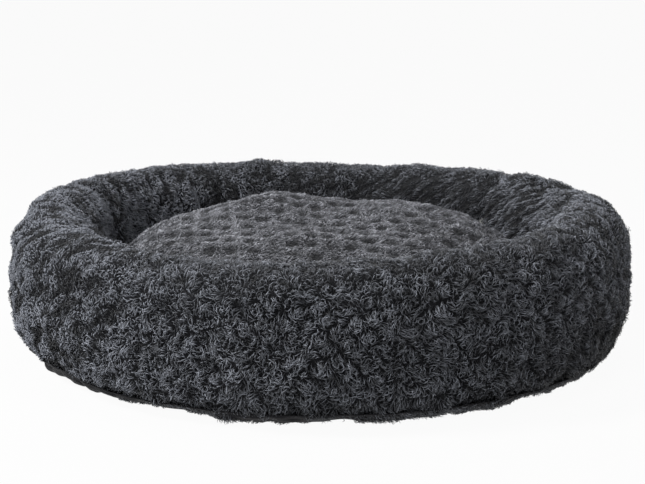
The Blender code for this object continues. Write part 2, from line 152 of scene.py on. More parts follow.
def soft_noise(points, size, seed):
    """Smooth noise from -1 to 1 with lumps of about this size."""
    table = np.random.default_rng(seed).uniform(-1, 1, (32, 32, 32))
    cells = np.asarray(points) / size + 100.0
    low = np.floor(cells).astype(int)
    smooth = ease(0, 1, cells - low)
    total = np.zeros(cells.shape[:-1])
    for corner in itertools.product((0, 1), repeat=3):
        spot = (low + corner) % 32
        share = np.prod(np.where(corner, smooth, 1 - smooth), axis=-1)
        total += share * table[spot[..., 0], spot[..., 1], spot[..., 2]]
    return total * 1.6


def noise_vectors(points, size, seed):
    return np.stack([soft_noise(points, size, seed + axis) for axis in range(3)], axis=-1)


def tree_of(points):
    tree = KDTree(len(points))
    for place, point in enumerate(points.tolist()):
        tree.insert(point, place)
    tree.balance()
    return tree


def nearest_in(tree, points, number):
    """Places in the tree of the nearest points, and how far they are, for each point."""
    found = [tree.find_n(point, number) for point in points.reshape(-1, 3).tolist()]
    near = np.array([[item[1] for item in group] for group in found])
    far = np.array([[item[2] for item in group] for group in found])
    shape = (*points.shape[:-1], number)
    return near.reshape(shape), far.reshape(shape)


# Meshes from numpy arrays of points

def mesh_object(name, points, quads, triangles, look, smooth=True):
    quads = np.asarray(quads, np.int32).reshape(-1, 4)
    triangles = np.asarray(triangles, np.int32).reshape(-1, 3)
    corners = np.concatenate([quads.ravel(), triangles.ravel()])
    starts = [np.arange(len(quads)) * 4, len(quads) * 4 + np.arange(len(triangles)) * 3]
    mesh = bpy.data.meshes.new(name)
    mesh.vertices.add(len(points))
    mesh.vertices.foreach_set("co", np.asarray(points, np.float32).ravel())
    mesh.loops.add(len(corners))
    mesh.loops.foreach_set("vertex_index", corners)
    mesh.polygons.add(len(quads) + len(triangles))
    mesh.polygons.foreach_set("loop_start", np.concatenate(starts).astype(np.int32))
    mesh.update(calc_edges=True)
    if smooth:
        mesh.shade_smooth()
    mesh.materials.append(look)
    made = bpy.data.objects.new(name, mesh)
    bpy.context.collection.objects.link(made)
    return made


def solid_object(name, points, quads, triangles, look):
    """A closed mesh whose faces are turned outwards."""
    made = mesh_object(name, points, quads, triangles, look)
    mesh = bmesh.new()
    mesh.from_mesh(made.data)
    bmesh.ops.recalc_face_normals(mesh, faces=mesh.faces)
    mesh.to_mesh(made.data)
    mesh.free()
    return made


def points_of(thing):
    found = np.empty(len(thing.data.vertices) * 3, np.float32)
    thing.data.vertices.foreach_get("co", found)
    return found.reshape(-1, 3).astype(float)


def grid_faces(rows, columns, wrap_rows=True, wrap_columns=False):
    """Four-sided faces of a grid of points, row by row."""
    ends = (rows if wrap_rows else rows - 1, columns if wrap_columns else columns - 1)
    row, column = np.meshgrid(np.arange(ends[0]), np.arange(ends[1]), indexing="ij")
    corners = ((row, column), (row + 1, column), (row + 1, column + 1), (row, column + 1))
    return np.stack([(r % rows) * columns + c % columns for r, c in corners], axis=-1).reshape(-1, 4)


def fan(hub, line, after):
    return np.stack([np.full(len(line), hub), line, after], axis=-1)


def shell_piece(name, outer, inner, look, is_round):
    """A closed shell between two grids of points. A round one wraps, and its middle is capped."""
    rows, columns, _ = outer.shape
    count = rows * columns
    points = [outer.reshape(-1, 3), inner.reshape(-1, 3)]
    faces = grid_faces(rows, columns, is_round)
    line = np.arange(rows if is_round else rows - 1) * columns
    after = (line + columns) % count
    edges = [(line + columns - 1, after + columns - 1)]
    caps = []
    if is_round:
        points.append(np.array([outer[:, 0].mean(axis=0), inner[:, 0].mean(axis=0)]))
        caps = [fan(2 * count + side, line + side * count, after + side * count) for side in (0, 1)]
    else:
        run = np.arange(columns)
        edges.append((line, after))
        edges += [(row * columns + run[:-1], row * columns + run[1:]) for row in (0, rows - 1)]
    sides = [np.stack([first, second, second + count, first + count], axis=-1) for first, second in edges]
    quads = np.concatenate([faces, faces + count, *sides])
    return solid_object(name, np.concatenate(points), quads, caps, look)


def round_piece(name, sections, look):
    """A closed solid from (rows, columns, 3) sections that run from the axis back to the axis."""
    body = sections[:, 1:-1]
    rows, columns, _ = body.shape
    points = np.concatenate([body.reshape(-1, 3), sections[:1, 0], sections[:1, -1]])
    line = np.arange(rows) * columns
    after = (line + columns) % (rows * columns)
    ends = enumerate((0, columns - 1))
    fans = [fan(rows * columns + side, line + end, after + end) for side, end in ends]
    return solid_object(name, points, grid_faces(rows, columns), fans, look)


def layer_piece(name, first, second, look):
    """A closed solid between two round faces whose sections start at the axis."""
    return round_piece(name, np.concatenate([first, second[:, ::-1]], axis=1), look)


def loop_piece(name, grid, look):
    """A closed solid from a grid of points that meets itself both ways."""
    return solid_object(name, grid.reshape(-1, 3), grid_faces(*grid.shape[:2], True, True), [], look)


def dress(piece, body, node=None):
    """Say what a piece rides on, and hide the imported part that it stands for."""
    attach(piece, body)
    if node:
        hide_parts(node)


# Cloth simulation of the sewn skins

SWELL_STEPS = 20
SWELL_SLACK = 0.03
SWELL_BLUR = 0.020
SWELL_BLUR_EVERY = 40


class Swell:
    """How far a sewn skin swells or draws in when its filling presses on it, from a simulation."""

    def __init__(self, name, sections, held, bands, voxel, cap):
        skin = loop_piece(name, sections, lining_look)
        remesh = skin.modifiers.new("even", "REMESH")
        remesh.mode = "VOXEL"
        remesh.voxel_size = voxel
        even = bpy.data.meshes.new_from_object(skin.evaluated_get(bpy.context.evaluated_depsgraph_get()))
        skin.modifiers.clear()
        skin.data = even
        before = points_of(skin)
        normals = np.array([tuple(vertex.normal) for vertex in even.vertices])
        group = skin.vertex_groups.new(name="sewn")
        group.add(np.flatnonzero(held(before)).tolist(), 1.0, "REPLACE")
        cloth = skin.modifiers.new("cloth", "CLOTH")
        settings = cloth.settings
        settings.quality = 4
        settings.mass = 0.3
        settings.tension_stiffness = 12.0
        settings.compression_stiffness = 12.0
        settings.shear_stiffness = 5.0
        settings.bending_stiffness = 0.3
        settings.use_pressure = True
        settings.uniform_pressure_force = 4.0
        settings.shrink_min = -SWELL_SLACK
        settings.vertex_group_mass = "sewn"
        settings.effector_weights.gravity = 0.0
        cloth.collision_settings.use_collision = False
        cloth.point_cache.frame_end = SWELL_STEPS
        for step in range(1, SWELL_STEPS + 1):
            bpy.context.scene.frame_set(step)
        bpy.context.view_layer.update()
        pressed = skin.evaluated_get(bpy.context.evaluated_depsgraph_get())
        rise = ((points_of(pressed) - before) * normals).sum(axis=1)
        local = before[::SWELL_BLUR_EVERY]
        weight = np.exp(-((before[:, None] - local) ** 2).sum(-1) / (2 * SWELL_BLUR ** 2))
        broad = (weight.T @ rise) / weight.sum(axis=0)
        rise = rise - (weight @ broad) / weight.sum(axis=1)
        band = bands(before).astype(int)
        rise = rise - (np.bincount(band, rise) / np.maximum(np.bincount(band), 1))[band]
        self.rise = rise.clip(-cap, cap)
        bpy.data.objects.remove(skin)
        bpy.context.scene.frame_set(1)
        self.tree = tree_of(before)

    def at(self, points):
        near, far = nearest_in(self.tree, points, 4)
        weight = 1 / (far + 0.001) ** 2
        return (self.rise[near] * weight).sum(axis=-1) / weight.sum(axis=-1)


# The plush's fabric: strands of pile laid in swirls on a backing

STRAND_MARKS = np.array([0.0, 0.34, 0.68, 1.0])
STRAND_WIDTHS = np.interp(STRAND_MARKS, [0, 0.3, 0.8, 1], [0.85, 1.0, 0.75, 0.25])
STRAND_ARCH = np.sin(math.pi * (0.02 + 0.72 * STRAND_MARKS ** 0.85))
# Painted shade at each strand's root, fading to painted light at its tip
STRAND_PAINTED_SHADE = 0.28 + 0.98 * STRAND_MARKS
STRAND_WANDER = 0.0008
LEAST_TURN = 0.05
LEAST_LIFT = -0.0004
ROOT_SINK = 0.0015
LEAST_HEIGHT = 0.0012
ROOT_JITTER = 0.42


def tube_mesh(paths, radii, sides=3):
    """Tubes along the (n, steps, 3) paths that end in a point. Three-sided ones are closed."""
    count, steps, _ = paths.shape
    along = unit(np.gradient(paths, axis=1))
    side = unit(np.cross(along[:, 0], np.array([0.31, 0.52, 0.79])))
    rings = []
    for step in range(steps - 1):
        side = across_to(side, along[:, step])
        around = spokes(sides, side, np.cross(along[:, step], side))
        rings.append(paths[:, step, None] + around * radii[:, step, None, None])
    points = np.concatenate([*rings, paths[:, -1:]], axis=1)
    pairs = [(turn, (turn + 1) % sides) for turn in range(sides)]
    last = (steps - 2) * sides
    quads = [
        (low + turn, low + after, low + sides + after, low + sides + turn)
        for low in range(0, last, sides)
        for turn, after in pairs
    ]
    ends = [(last + turn, last + after, last + sides) for turn, after in pairs] + [(0, 2, 1)]
    shift = np.arange(count)[:, None, None] * points.shape[1]
    return points.reshape(-1, 3), np.array(quads) + shift, np.array(ends) + shift


def grid_frames(grid):
    """Normals and directions across a wrapped grid of points, whose rows go round the bed."""
    along = unit(np.roll(grid, -1, axis=0) - np.roll(grid, 1, axis=0))
    across = unit(np.gradient(grid, axis=1))
    return unit(np.cross(along, across)), across


def at_grid(values, row, column):
    """Values of a wrapped grid between its points."""
    rows, columns = values.shape[:2]
    low_row = np.floor(row).astype(int)
    low_column = np.clip(np.floor(column).astype(int), 0, columns - 2)
    part_row = (row - low_row)[:, None]
    part_column = (column - low_column)[:, None]
    here, after = low_row % rows, (low_row + 1) % rows
    first = values[here, low_column] * (1 - part_row) + values[after, low_column] * part_row
    last = values[here, low_column + 1] * (1 - part_row) + values[after, low_column + 1] * part_row
    return first * (1 - part_column) + last * part_column


def even_roots(grid, gap, widen, random):
    """Places spread evenly over a wrapped grid, as rows and columns between its points."""
    rows, columns = grid.shape[:2]
    steps = np.linalg.norm(np.diff(grid, axis=1), axis=-1).mean(axis=0)
    run = np.concatenate([[0], np.cumsum(steps)])
    found = []
    place = 0.25 * gap
    while place < run[-1]:
        column = np.interp(place, run, np.arange(columns))
        ring = at_grid(grid, np.arange(rows, dtype=float), np.full(rows, column))
        girth = np.linalg.norm(np.roll(ring, -1, axis=0) - ring, axis=1).sum()
        spacing = gap * widen(ring.mean(axis=0)[2], radius_of(ring[0]))
        number = max(3, int(girth / spacing))
        wobble = ROOT_JITTER * random.uniform(-1, 1, (2, number))
        row = (np.arange(number) + 0.5 * (len(found) % 2) + wobble[0]) / number * rows
        found.append((row, np.interp(place + wobble[1] * spacing, run, np.arange(columns))))
        place += spacing
    row, column = np.concatenate(found, axis=1)
    return row, np.clip(column, 0, columns - 1.001)


class Swirls:
    """The middles of the swirls in the pile, each with its own way of turning."""

    def __init__(self, centres, gap, inward_range, seed, squeeze=1.0):
        random = np.random.default_rng(seed)
        count = len(centres)
        self.centres = centres
        self.gap = gap
        self.spins = np.where(random.random(count) < 0.5, 1.0, -1.0)
        self.inward = random.uniform(*inward_range, count)
        self.biases = random.normal(0, 1, (count, 3))
        self.strengths = random.normal(0, 1, count).clip(-2, 2)
        self.squeeze = np.array([1.0, squeeze, 1.0])
        self.tree = tree_of(centres * self.squeeze)

    def nearest(self, points):
        """The nearest middle to each point, and how far it is as a share of the gap."""
        near, far = nearest_in(self.tree, points * self.squeeze, 1)
        return near[..., 0], far[..., 0] / self.gap

    def lean(self, root, normal):
        """Which way the pile leans at each root: round the two nearest middles and in or out."""
        near, far = nearest_in(self.tree, root * self.squeeze, 2)
        weight = bell(far, 0.38 * self.gap) + 1e-6
        weight /= weight.sum(axis=1, keepdims=True)
        total = np.zeros_like(root)
        for side in (0, 1):
            mine = near[:, side]
            out = across_to(root - self.centres[mine], normal)
            around = np.cross(normal, out) * self.spins[mine][:, None]
            push = around - self.inward[mine][:, None] * out + 0.35 * self.biases[mine]
            total += weight[:, side, None] * push
        return total, near[:, 0]


def grow_pile(name, grid, swirls, style):
    """Strands of pile over a backing, curling round swirls, cut into pieces by their angle."""
    random = np.random.default_rng(style["seed"])
    row, column = even_roots(grid, style["gap"], style["widen"], random)
    root = at_grid(grid, row, column)
    kept = style["keep"](root)
    row, column, root = row[kept], column[kept], root[kept]
    normal, across = (unit(at_grid(vectors, row, column)) for vectors in grid_frames(grid))
    share_across = column / (grid.shape[1] - 1)
    one_each = (len(root), 1)
    comb, facts = style["facts"](root, normal, share_across, random)
    facts = {fact: np.reshape(value, (-1, 1)) for fact, value in facts.items()}
    push, mine = swirls.lean(root, normal)
    strength = swirls.strengths[mine][:, None]
    lean = push * facts["swirl"] + comb
    lean += random.normal(0, 1, root.shape) * facts["stray"]
    lean = across_to(lean, normal)
    side = np.cross(normal, lean) * swirls.spins[mine][:, None]
    reach = facts["reach"] * random.uniform(0.65, 1.30, one_each)
    rise = facts["rise"] * random.normal(1.0, 0.16, one_each).clip(0.5, 1.5) * (1 + 0.14 * strength)
    turn = np.maximum(facts["turn"] * random.uniform(0.2, 1.5, one_each), LEAST_TURN)
    angle = turn * STRAND_MARKS ** 1.15
    ahead = reach * np.sin(angle) / turn
    aside = reach * (1 - np.cos(angle)) / turn
    flat = root[:, None] + lean[:, None] * ahead[..., None] + side[:, None] * aside[..., None]
    flat += random.normal(0, 1, flat.shape) * (STRAND_WANDER * STRAND_MARKS[:, None])
    run = ((flat - root[:, None]) * across[:, None]).sum(-1)
    swell, shade = style["field"](flat, swirls, share_across[:, None], run)
    lift = np.maximum(swell + rise * STRAND_ARCH, LEAST_LIFT) - ROOT_SINK * (1 - STRAND_MARKS)
    paths = flat + normal[:, None] * lift[..., None]
    paths[..., 2] = np.maximum(paths[..., 2] - facts["droop"] * STRAND_MARKS ** 2, LEAST_HEIGHT)
    radii = facts["thick"] * random.uniform(0.7, 1.3, one_each) * STRAND_WIDTHS
    # Each strand's shade: its random tone, times the painted light and shade of its place, times painted
    # shade at its root and painted light at its tip
    tone_and_painted_light = facts["tone_and_painted_light"] * (1 + facts["patch"] * strength)
    tone_and_painted_light = tone_and_painted_light * np.exp(random.normal(0, facts["contrast"], one_each))
    shades = tone_and_painted_light * shade * STRAND_PAINTED_SHADE
    where = angle_of(root) % math.tau
    for sector in range(style["pieces"]):
        start, end = (edge * math.tau / style["pieces"] for edge in (sector, sector + 1))
        inside = (where >= start) & (where < end)
        tubes = tube_mesh(paths[inside], radii[inside])
        piece = mesh_object(f"{name}_{sector + 1:02d}", *tubes, style["look"])
        spread = np.concatenate([np.repeat(shades[inside, :-1], 3, axis=1), shades[inside, -1:]], axis=1)
        layer = piece.data.attributes.new("shade", "FLOAT", "POINT")
        layer.data.foreach_set("value", spread.astype(np.float32).ravel())
        dress(piece, style["body"])


# Materials

def add_node(tree, kind, inputs=None, operation=None):
    """A shader node. Each of its inputs is a value, or the output of the node that feeds it."""
    node = tree.nodes.new("ShaderNode" + kind)
    if operation:
        node.operation = operation
    for name, value in (inputs or {}).items():
        if isinstance(value, bpy.types.NodeSocket):
            tree.links.new(value, node.inputs[name])
        else:
            node.inputs[name].default_value = value
    return node


def add_math(tree, operation, *values):
    return add_node(tree, "Math", dict(enumerate(values)), operation).outputs[0]


def add_noise(tree, place, scale, detail, distortion=0.0):
    inputs = {"Vector": place, "Scale": scale, "Detail": detail, "Distortion": distortion}
    return add_node(tree, "TexNoise", inputs).outputs["Fac"]


def add_range(tree, value, low, high):
    """The value as a share of the way from low to high."""
    return add_node(tree, "MapRange", {"Value": value, "From Min": low, "From Max": high}).outputs[0]


def add_colours(tree, value, stops):
    """Colours that the value picks, from two stops of a place and a colour."""
    made = add_node(tree, "ValToRGB", {"Fac": value})
    for element, (place, colour) in zip(made.color_ramp.elements, stops):
        element.position = place
        element.color = (*colour, 1.0)
    return made.outputs["Color"]


def add_bump(tree, height, distance, strength):
    inputs = {"Height": height, "Distance": distance, "Strength": strength}
    return add_node(tree, "Bump", inputs).outputs["Normal"]


def add_surface(tree, inputs):
    shader = add_node(tree, "BsdfPrincipled", inputs)
    add_node(tree, "OutputMaterial", {0: shader.outputs[0]})


def empty_tree(owner):
    owner.use_nodes = True
    owner.node_tree.nodes.clear()
    return owner.node_tree


def new_material(name):
    """An empty material, with its nodes and the output that says where a point of the object is."""
    made = bpy.data.materials.new(name)
    tree = empty_tree(made)
    return made, tree, add_node(tree, "TexCoord").outputs["Object"]


def shaded(colour, factor):
    return tuple(factor * part for part in colour)


def pile_material(name, dark, light):
    """Plush strands: each has its own shade, a random tone with painted light and shade, darkest at its root
    and lighter towards its tip.
    """
    made, tree, place = new_material(name)
    strand = add_node(tree, "Attribute")
    strand.attribute_name = "shade"
    mixed = add_math(tree, "MULTIPLY_ADD", add_noise(tree, place, 13.0, 3.0), 0.30, strand.outputs["Fac"])
    add_surface(tree, {
        "Base Color": add_colours(tree, add_range(tree, mixed, 0.20, 2.20), ((0.0, dark), (1.0, light))),
        "Roughness": 0.45,
        "Sheen Weight": 0.08,
        "Sheen Roughness": 0.40,
        "Specular IOR Level": 0.45,
    })
    return made


def cloth_material(name, colour, pitch, sheen, roughness):
    """Woven cloth: threads that cross at this pitch, with soft patches of shade."""
    made, tree, place = new_material(name)
    waves = []
    for direction in ("X", "Y", "Z"):
        inputs = {"Vector": place, "Scale": math.tau / (20 * pitch), "Distortion": 0.6, "Detail Scale": 2.0}
        wave = add_node(tree, "TexWave", inputs)
        wave.bands_direction = direction
        waves.append(wave.outputs["Fac"])
    threads = add_math(tree, "ADD", add_math(tree, "ADD", *waves[:2]), waves[2])
    total = add_math(tree, "ADD", threads, add_noise(tree, place, 60.0, 5.0))
    stops = ((0.0, shaded(colour, 0.45)), (1.0, shaded(colour, 1.35)))
    add_surface(tree, {
        "Base Color": add_colours(tree, add_range(tree, total, 0.8, 3.0), stops),
        "Roughness": roughness,
        "Sheen Weight": sheen,
        "Specular IOR Level": 0.25,
        "Normal": add_bump(tree, threads, 0.25 * pitch, 0.6),
    })
    return made


def fibre_material(name, colour):
    """Loose white fibre: wispy streaks over soft lumps."""
    made, tree, place = new_material(name)
    wisps = add_noise(tree, place, 180.0, 8.0, 2.5)
    add_surface(tree, {
        "Base Color": add_colours(tree, wisps, ((0.3, shaded(colour, 0.72)), (0.65, colour))),
        "Roughness": 0.95,
        "Sheen Weight": 0.3,
        "Specular IOR Level": 0.1,
        "Normal": add_bump(tree, wisps, 0.004, 0.8),
    })
    return made


def moulded_material(name, colour, roughness, metallic, grain):
    """Moulded plastic or cast metal with a fine grain in its colour, gloss and surface."""
    made, tree, place = new_material(name)
    noise = add_noise(tree, place, grain, 6.0)
    gloss = {"Value": noise, "To Min": roughness - 0.10, "To Max": roughness + 0.12}
    stops = ((0.3, shaded(colour, 0.8)), (0.7, shaded(colour, 1.2)))
    add_surface(tree, {
        "Base Color": add_colours(tree, noise, stops),
        "Roughness": add_node(tree, "MapRange", gloss).outputs[0],
        "Metallic": metallic,
        "Normal": add_bump(tree, noise, 0.0001, 0.5),
    })
    return made


ring_pile_look = pile_material("ring_pile", (0.004, 0.0045, 0.006), (0.330, 0.350, 0.400))
cushion_pile_look = pile_material("cushion_pile", (0.012, 0.013, 0.016), (0.640, 0.655, 0.720))
ring_backing_look = cloth_material("ring_backing", (0.012, 0.0125, 0.015), 0.0012, 0.05, 0.95)
cushion_backing_look = cloth_material("cushion_backing", (0.030, 0.031, 0.035), 0.0012, 0.05, 0.95)
base_look = cloth_material("base_cloth_weave", (0.0058, 0.0055, 0.0075), 0.0008, 0.05, 0.80)
lining_look = cloth_material("lining_weave", (0.040, 0.041, 0.046), 0.0008, 0.2, 0.80)
fibre_look = fibre_material("white_fibre_fill", (0.80, 0.80, 0.78))
tape_look = cloth_material("zip_tape_weave", (0.020, 0.020, 0.022), 0.0006, 0.15, 0.75)
thread_look = cloth_material("sewing_thread", (0.035, 0.035, 0.040), 0.0004, 0.1, 0.60)
plastic_look = moulded_material("zip_plastic_moulded", (0.022, 0.022, 0.024), 0.42, 0.0, 900.0)
metal_look = moulded_material("zip_metal_cast", (0.33, 0.33, 0.34), 0.38, 1.0, 700.0)

# The ring

PILE_DEPTH = 0.0068
COVER_DROP = 0.0016
COVER_THICKNESS = 0.0046
HEM_HEIGHT = 0.0178
RING_AROUND = 480
RING_ACROSS = 90
RING_GIRTH = math.tau * 0.405
ROSETTE_ROWS = 0.0190
ROSETTES_AROUND = 122
ROSETTE_GAP = 0.0200
ROSETTE_WANDER = 0.0032
TILT_ROWS = 46
SEAM_DEPTHS = (0.0065, 0.0060, 0.0030)
SEAM_WIDTH = 0.013
PLEAT_LEAN = math.radians(15)
FIBRE_INSET = 0.0165
LIP_RISE = 0.0055

# Places round the ring: a middle angle and a width in degrees, and how far a bulge or a hump rises
LEFT_SIDE = (203, math.degrees(0.55))
FRONT_HEM = (-76, 26)
BARE_FOOT = (212, 18)
LIP = (217, 11.5)
FOOT_BULGES = ((-28, 20, 0.0022), (199, 13, 0.0030))
CREST_HUMPS = (
    (54, 8, 0.0055),
    (107.5, 5, 0.0034),
    (70, 6, 0.003),
    (97, 4, -0.001),
    (37.5, 3, -0.004),
    (24, 7, 0.003),
)


def ring_section(turn, inset):
    """Radius and height of the ring's section: turn 0 is the outer wall, pi/2 the crest."""
    across = np.cos(turn)
    up = np.sin(turn)
    half = np.where(across > 0, RING_OUTER_HALF_WIDTH, RING_INNER_HALF_WIDTH) - inset
    power = 2 / np.where(up > 0, RING_TOP_FULLNESS, RING_FOOT_FULLNESS)
    rise = np.where(up > 0, BED_HEIGHT - RING_WIDEST_HEIGHT, RING_WIDEST_HEIGHT) - inset
    return (
        CREST_RADIUS + half * signed_power(across, power),
        RING_WIDEST_HEIGHT + rise * signed_power(up, power),
    )


def even_section(inset):
    """Turns from the outer hem over the crest to the inner lip, at even steps, and the length."""
    turns = np.linspace(-math.pi / 2 + 0.02, math.pi * 1.5 - 0.02, 4000)
    radius, height = ring_section(turns, inset)
    run = run_along(radius, height)
    outer = run[np.flatnonzero(height >= HEM_HEIGHT)[0]]
    inner = run[np.flatnonzero(height >= RING_LIP_HEIGHT)[-1]]
    return np.interp(np.linspace(outer, inner, RING_ACROSS), run, turns), inner - outer


def settle(angle, radius, height):
    """The ring's slow rises and dips, which the photograph's outline shows."""
    share = ease(0.02, 0.12, height)
    rise = 0.0040 * np.sin(angle) - 0.0045 * np.sin(2 * angle) + 0.0080 * np.cos(2 * angle) - 0.001
    rise += 0.0035 * ease(0.2, 0.9, np.sin(angle))
    for middle, width, swell in CREST_HUMPS:
        rise += swell * near_angle(angle, middle, width)
    radius = radius + share * (0.0030 * np.sin(angle) + 0.0020 * np.cos(2 * angle))
    for middle, width, bulge in FOOT_BULGES:
        radius += bulge * (1 - ease(0.05, 0.12, height)) * near_angle(angle, middle, width)
    return radius, height + share * (height / BED_HEIGHT) * rise


def left_wall(angle):
    """The share of the ring's left end, where its inner wall is pleated."""
    return ease(0.3, 0.6, -np.cos(angle))


def side_rows(angle, run):
    """The long patches that climb round the left side, from -1 to 1."""
    arc = np.mod(angle, math.tau) * 0.43
    flat = np.stack([arc / 2.0, run - 0.75 * arc, 0.2 * arc], axis=-1)
    return (1.8 * soft_noise(flat, 0.0115, 33)).clip(-1, 1)


def wall_pleats(angle, height):
    """Narrow folds that lean round the inner wall as they rise, from 0 to 1."""
    angle = np.mod(angle, math.tau) + PLEAT_LEAN * ease(RING_WIDEST_HEIGHT, BED_HEIGHT, height)
    bent = 78 * angle + 2.0 * np.sin(5 * angle + 1) + 1.5 * np.sin(11 * angle)
    return (0.5 + 0.5 * np.cos(bent)) ** 1.8 * (0.6 + 0.4 * np.sin(17 * angle + 1.2))


def ring_relief(angle, turn, run, points):
    """How far the plush stands in or out of the even ring."""
    inner = ease(1.9, 2.7, turn)
    outer = 1 - ease(0.9, 1.7, turn)
    relief = 0.0024 * soft_noise(points, 0.080, 11) + 0.0015 * soft_noise(points, 0.036, 12)
    relief += 0.0014 * (1 - inner) * soft_noise(points, 0.021, 13)
    folds = np.sin(24 * angle + 1.7 * np.sin(3 * angle + 1.0) + 1.2 * np.sin(5 * angle) + 0.9 * turn)
    relief += inner * 0.0050 * (np.abs(folds) - 0.6)
    rows = run / ROSETTE_ROWS - TILT_ROWS * angle / math.tau
    relief += outer * 0.0004 * np.cos(math.tau * rows + 1.2 * soft_noise(points, 0.05, 15))
    relief += outer * near_angle(angle, *LEFT_SIDE) * 0.0014 * side_rows(angle, run)
    for seam, depth in zip(SEAM_ANGLES, SEAM_DEPTHS):
        groove = bell(from_angle(angle, seam) * CREST_RADIUS, SEAM_WIDTH)
        relief -= depth * groove * (0.35 + 0.65 * ease(0.4, 1.2, turn))
    relief -= 0.0052 * ease(1.7, 2.3, turn) * left_wall(angle) * wall_pleats(angle, points[..., 2])
    return relief


def foot_bulge(points):
    """Soft lumps that the ring's foot and the base cloth's edge share, from -1 to 1."""
    return soft_noise(points * LEVEL, 0.028, 65)


def ring_skin():
    """The ring's skin swollen by its fibre, held where it is sewn: at its foot and its three seams."""
    angle, turn = np.meshgrid(even_angles(200), even_angles(56), indexing="ij")
    radius, height = ring_section(turn, PILE_DEPTH + 0.006)

    def held(points):
        around = angle_of(points)
        seams = [np.abs(from_angle(around, seam)) * CREST_RADIUS < 0.006 for seam in SEAM_ANGLES]
        return (points[:, 2] < 0.032) | np.any(seams, axis=0)

    def bands(points):
        turn = np.arctan2(points[:, 2] - RING_WIDEST_HEIGHT, radius_of(points) - CREST_RADIUS)
        return (turn / math.tau + 0.5) * 20

    return Swell("ring_skin", polar(radius, angle, height), held, bands, 0.009, 0.004)


def ring_grid(inset):
    """A grid of points over the ring, and the length of its section."""
    turns, length = even_section(inset)
    angle, turn = np.meshgrid(even_angles(RING_AROUND), turns, indexing="ij")
    radius, height = settle(angle, *ring_section(turn, inset))
    grid = polar(radius, angle, height)
    run = np.broadcast_to(np.linspace(0, length, RING_ACROSS), angle.shape)
    relief = ring_relief(angle, turn, run, grid)
    if ring_swell:
        relief += ring_swell.at(grid) * (1 - 0.5 * ease(0.17, 0.20, height))
    relief *= ease(0.018, 0.045, height)
    relief += 0.0034 * (1 - ease(0.02, 0.06, height)) * (turn < 0) * foot_bulge(grid)
    return grid + grid_frames(grid)[0] * relief[..., None], length


def add_ring_covers():
    """The ring's three panels of backing cloth."""
    outer = ring_grid(PILE_DEPTH + COVER_DROP)[0]
    inner = ring_grid(PILE_DEPTH + COVER_THICKNESS)[0]
    starts = [round(seam / math.tau * RING_AROUND) for seam in SEAM_ANGLES]
    ends = [*starts[1:], starts[0] + RING_AROUND]
    for side, start, end in zip(("back", "left", "right"), starts, ends):
        rows = np.arange(start, end + 1) % RING_AROUND
        piece = shell_piece(f"ring_cover_{side}", outer[rows], inner[rows], ring_backing_look, False)
        dress(piece, "nest", f"bolster_panel_{side}")


def ring_rosettes(grid, length, random):
    """Middles of the plush's rosettes, in rows that climb round the ring."""
    places = []
    for line in range(-TILT_ROWS, int(length / ROSETTE_ROWS) + 2):
        share = (np.arange(ROSETTES_AROUND) + 0.5 * (line % 2)) / ROSETTES_AROUND
        run = (line + 0.5 + TILT_ROWS * share) * ROSETTE_ROWS
        places.append(np.stack([share, run], axis=-1)[(run > -0.01) & (run < length + 0.01)])
    share, run = np.concatenate(places).T
    wander = random.uniform(-ROSETTE_WANDER, ROSETTE_WANDER, (2, len(share)))
    row = (share + wander[0] / RING_GIRTH) * RING_AROUND
    column = np.clip((run + wander[1]) / length, 0, 1) * (RING_ACROSS - 1.01)
    return at_grid(grid, row, column)


def ring_parts(points):
    """Shares at each point. On the inner wall: all of it, its right part, the rest of it and its
    pleats. Outside: the low part, the hem, the left side and the right end. Last: the crest."""
    angle = angle_of(points)
    radial = radius_of(points)
    height = points[..., 2]
    inner = ease(0.01, 0.05, CREST_RADIUS - radial)
    right = inner * ease(-0.2, 0.5, np.cos(angle))
    low = (1 - ease(0.04, 0.12, height)) * (1 - inner)
    hem_top = HEM_HEIGHT + 0.007 * near_angle(angle, *FRONT_HEM)
    hem = (1 - ease(hem_top + 0.006, hem_top + 0.020, height)) * (radial > CREST_RADIUS)
    left = near_angle(angle, *LEFT_SIDE) * (1 - inner)
    right_end = (1 - inner) * ease(0.68, 0.93, np.cos(angle))
    crest = ease(0.165, 0.195, height)
    return inner, right, inner * (1 - right), inner * left_wall(angle), low, hem, left, right_end, crest


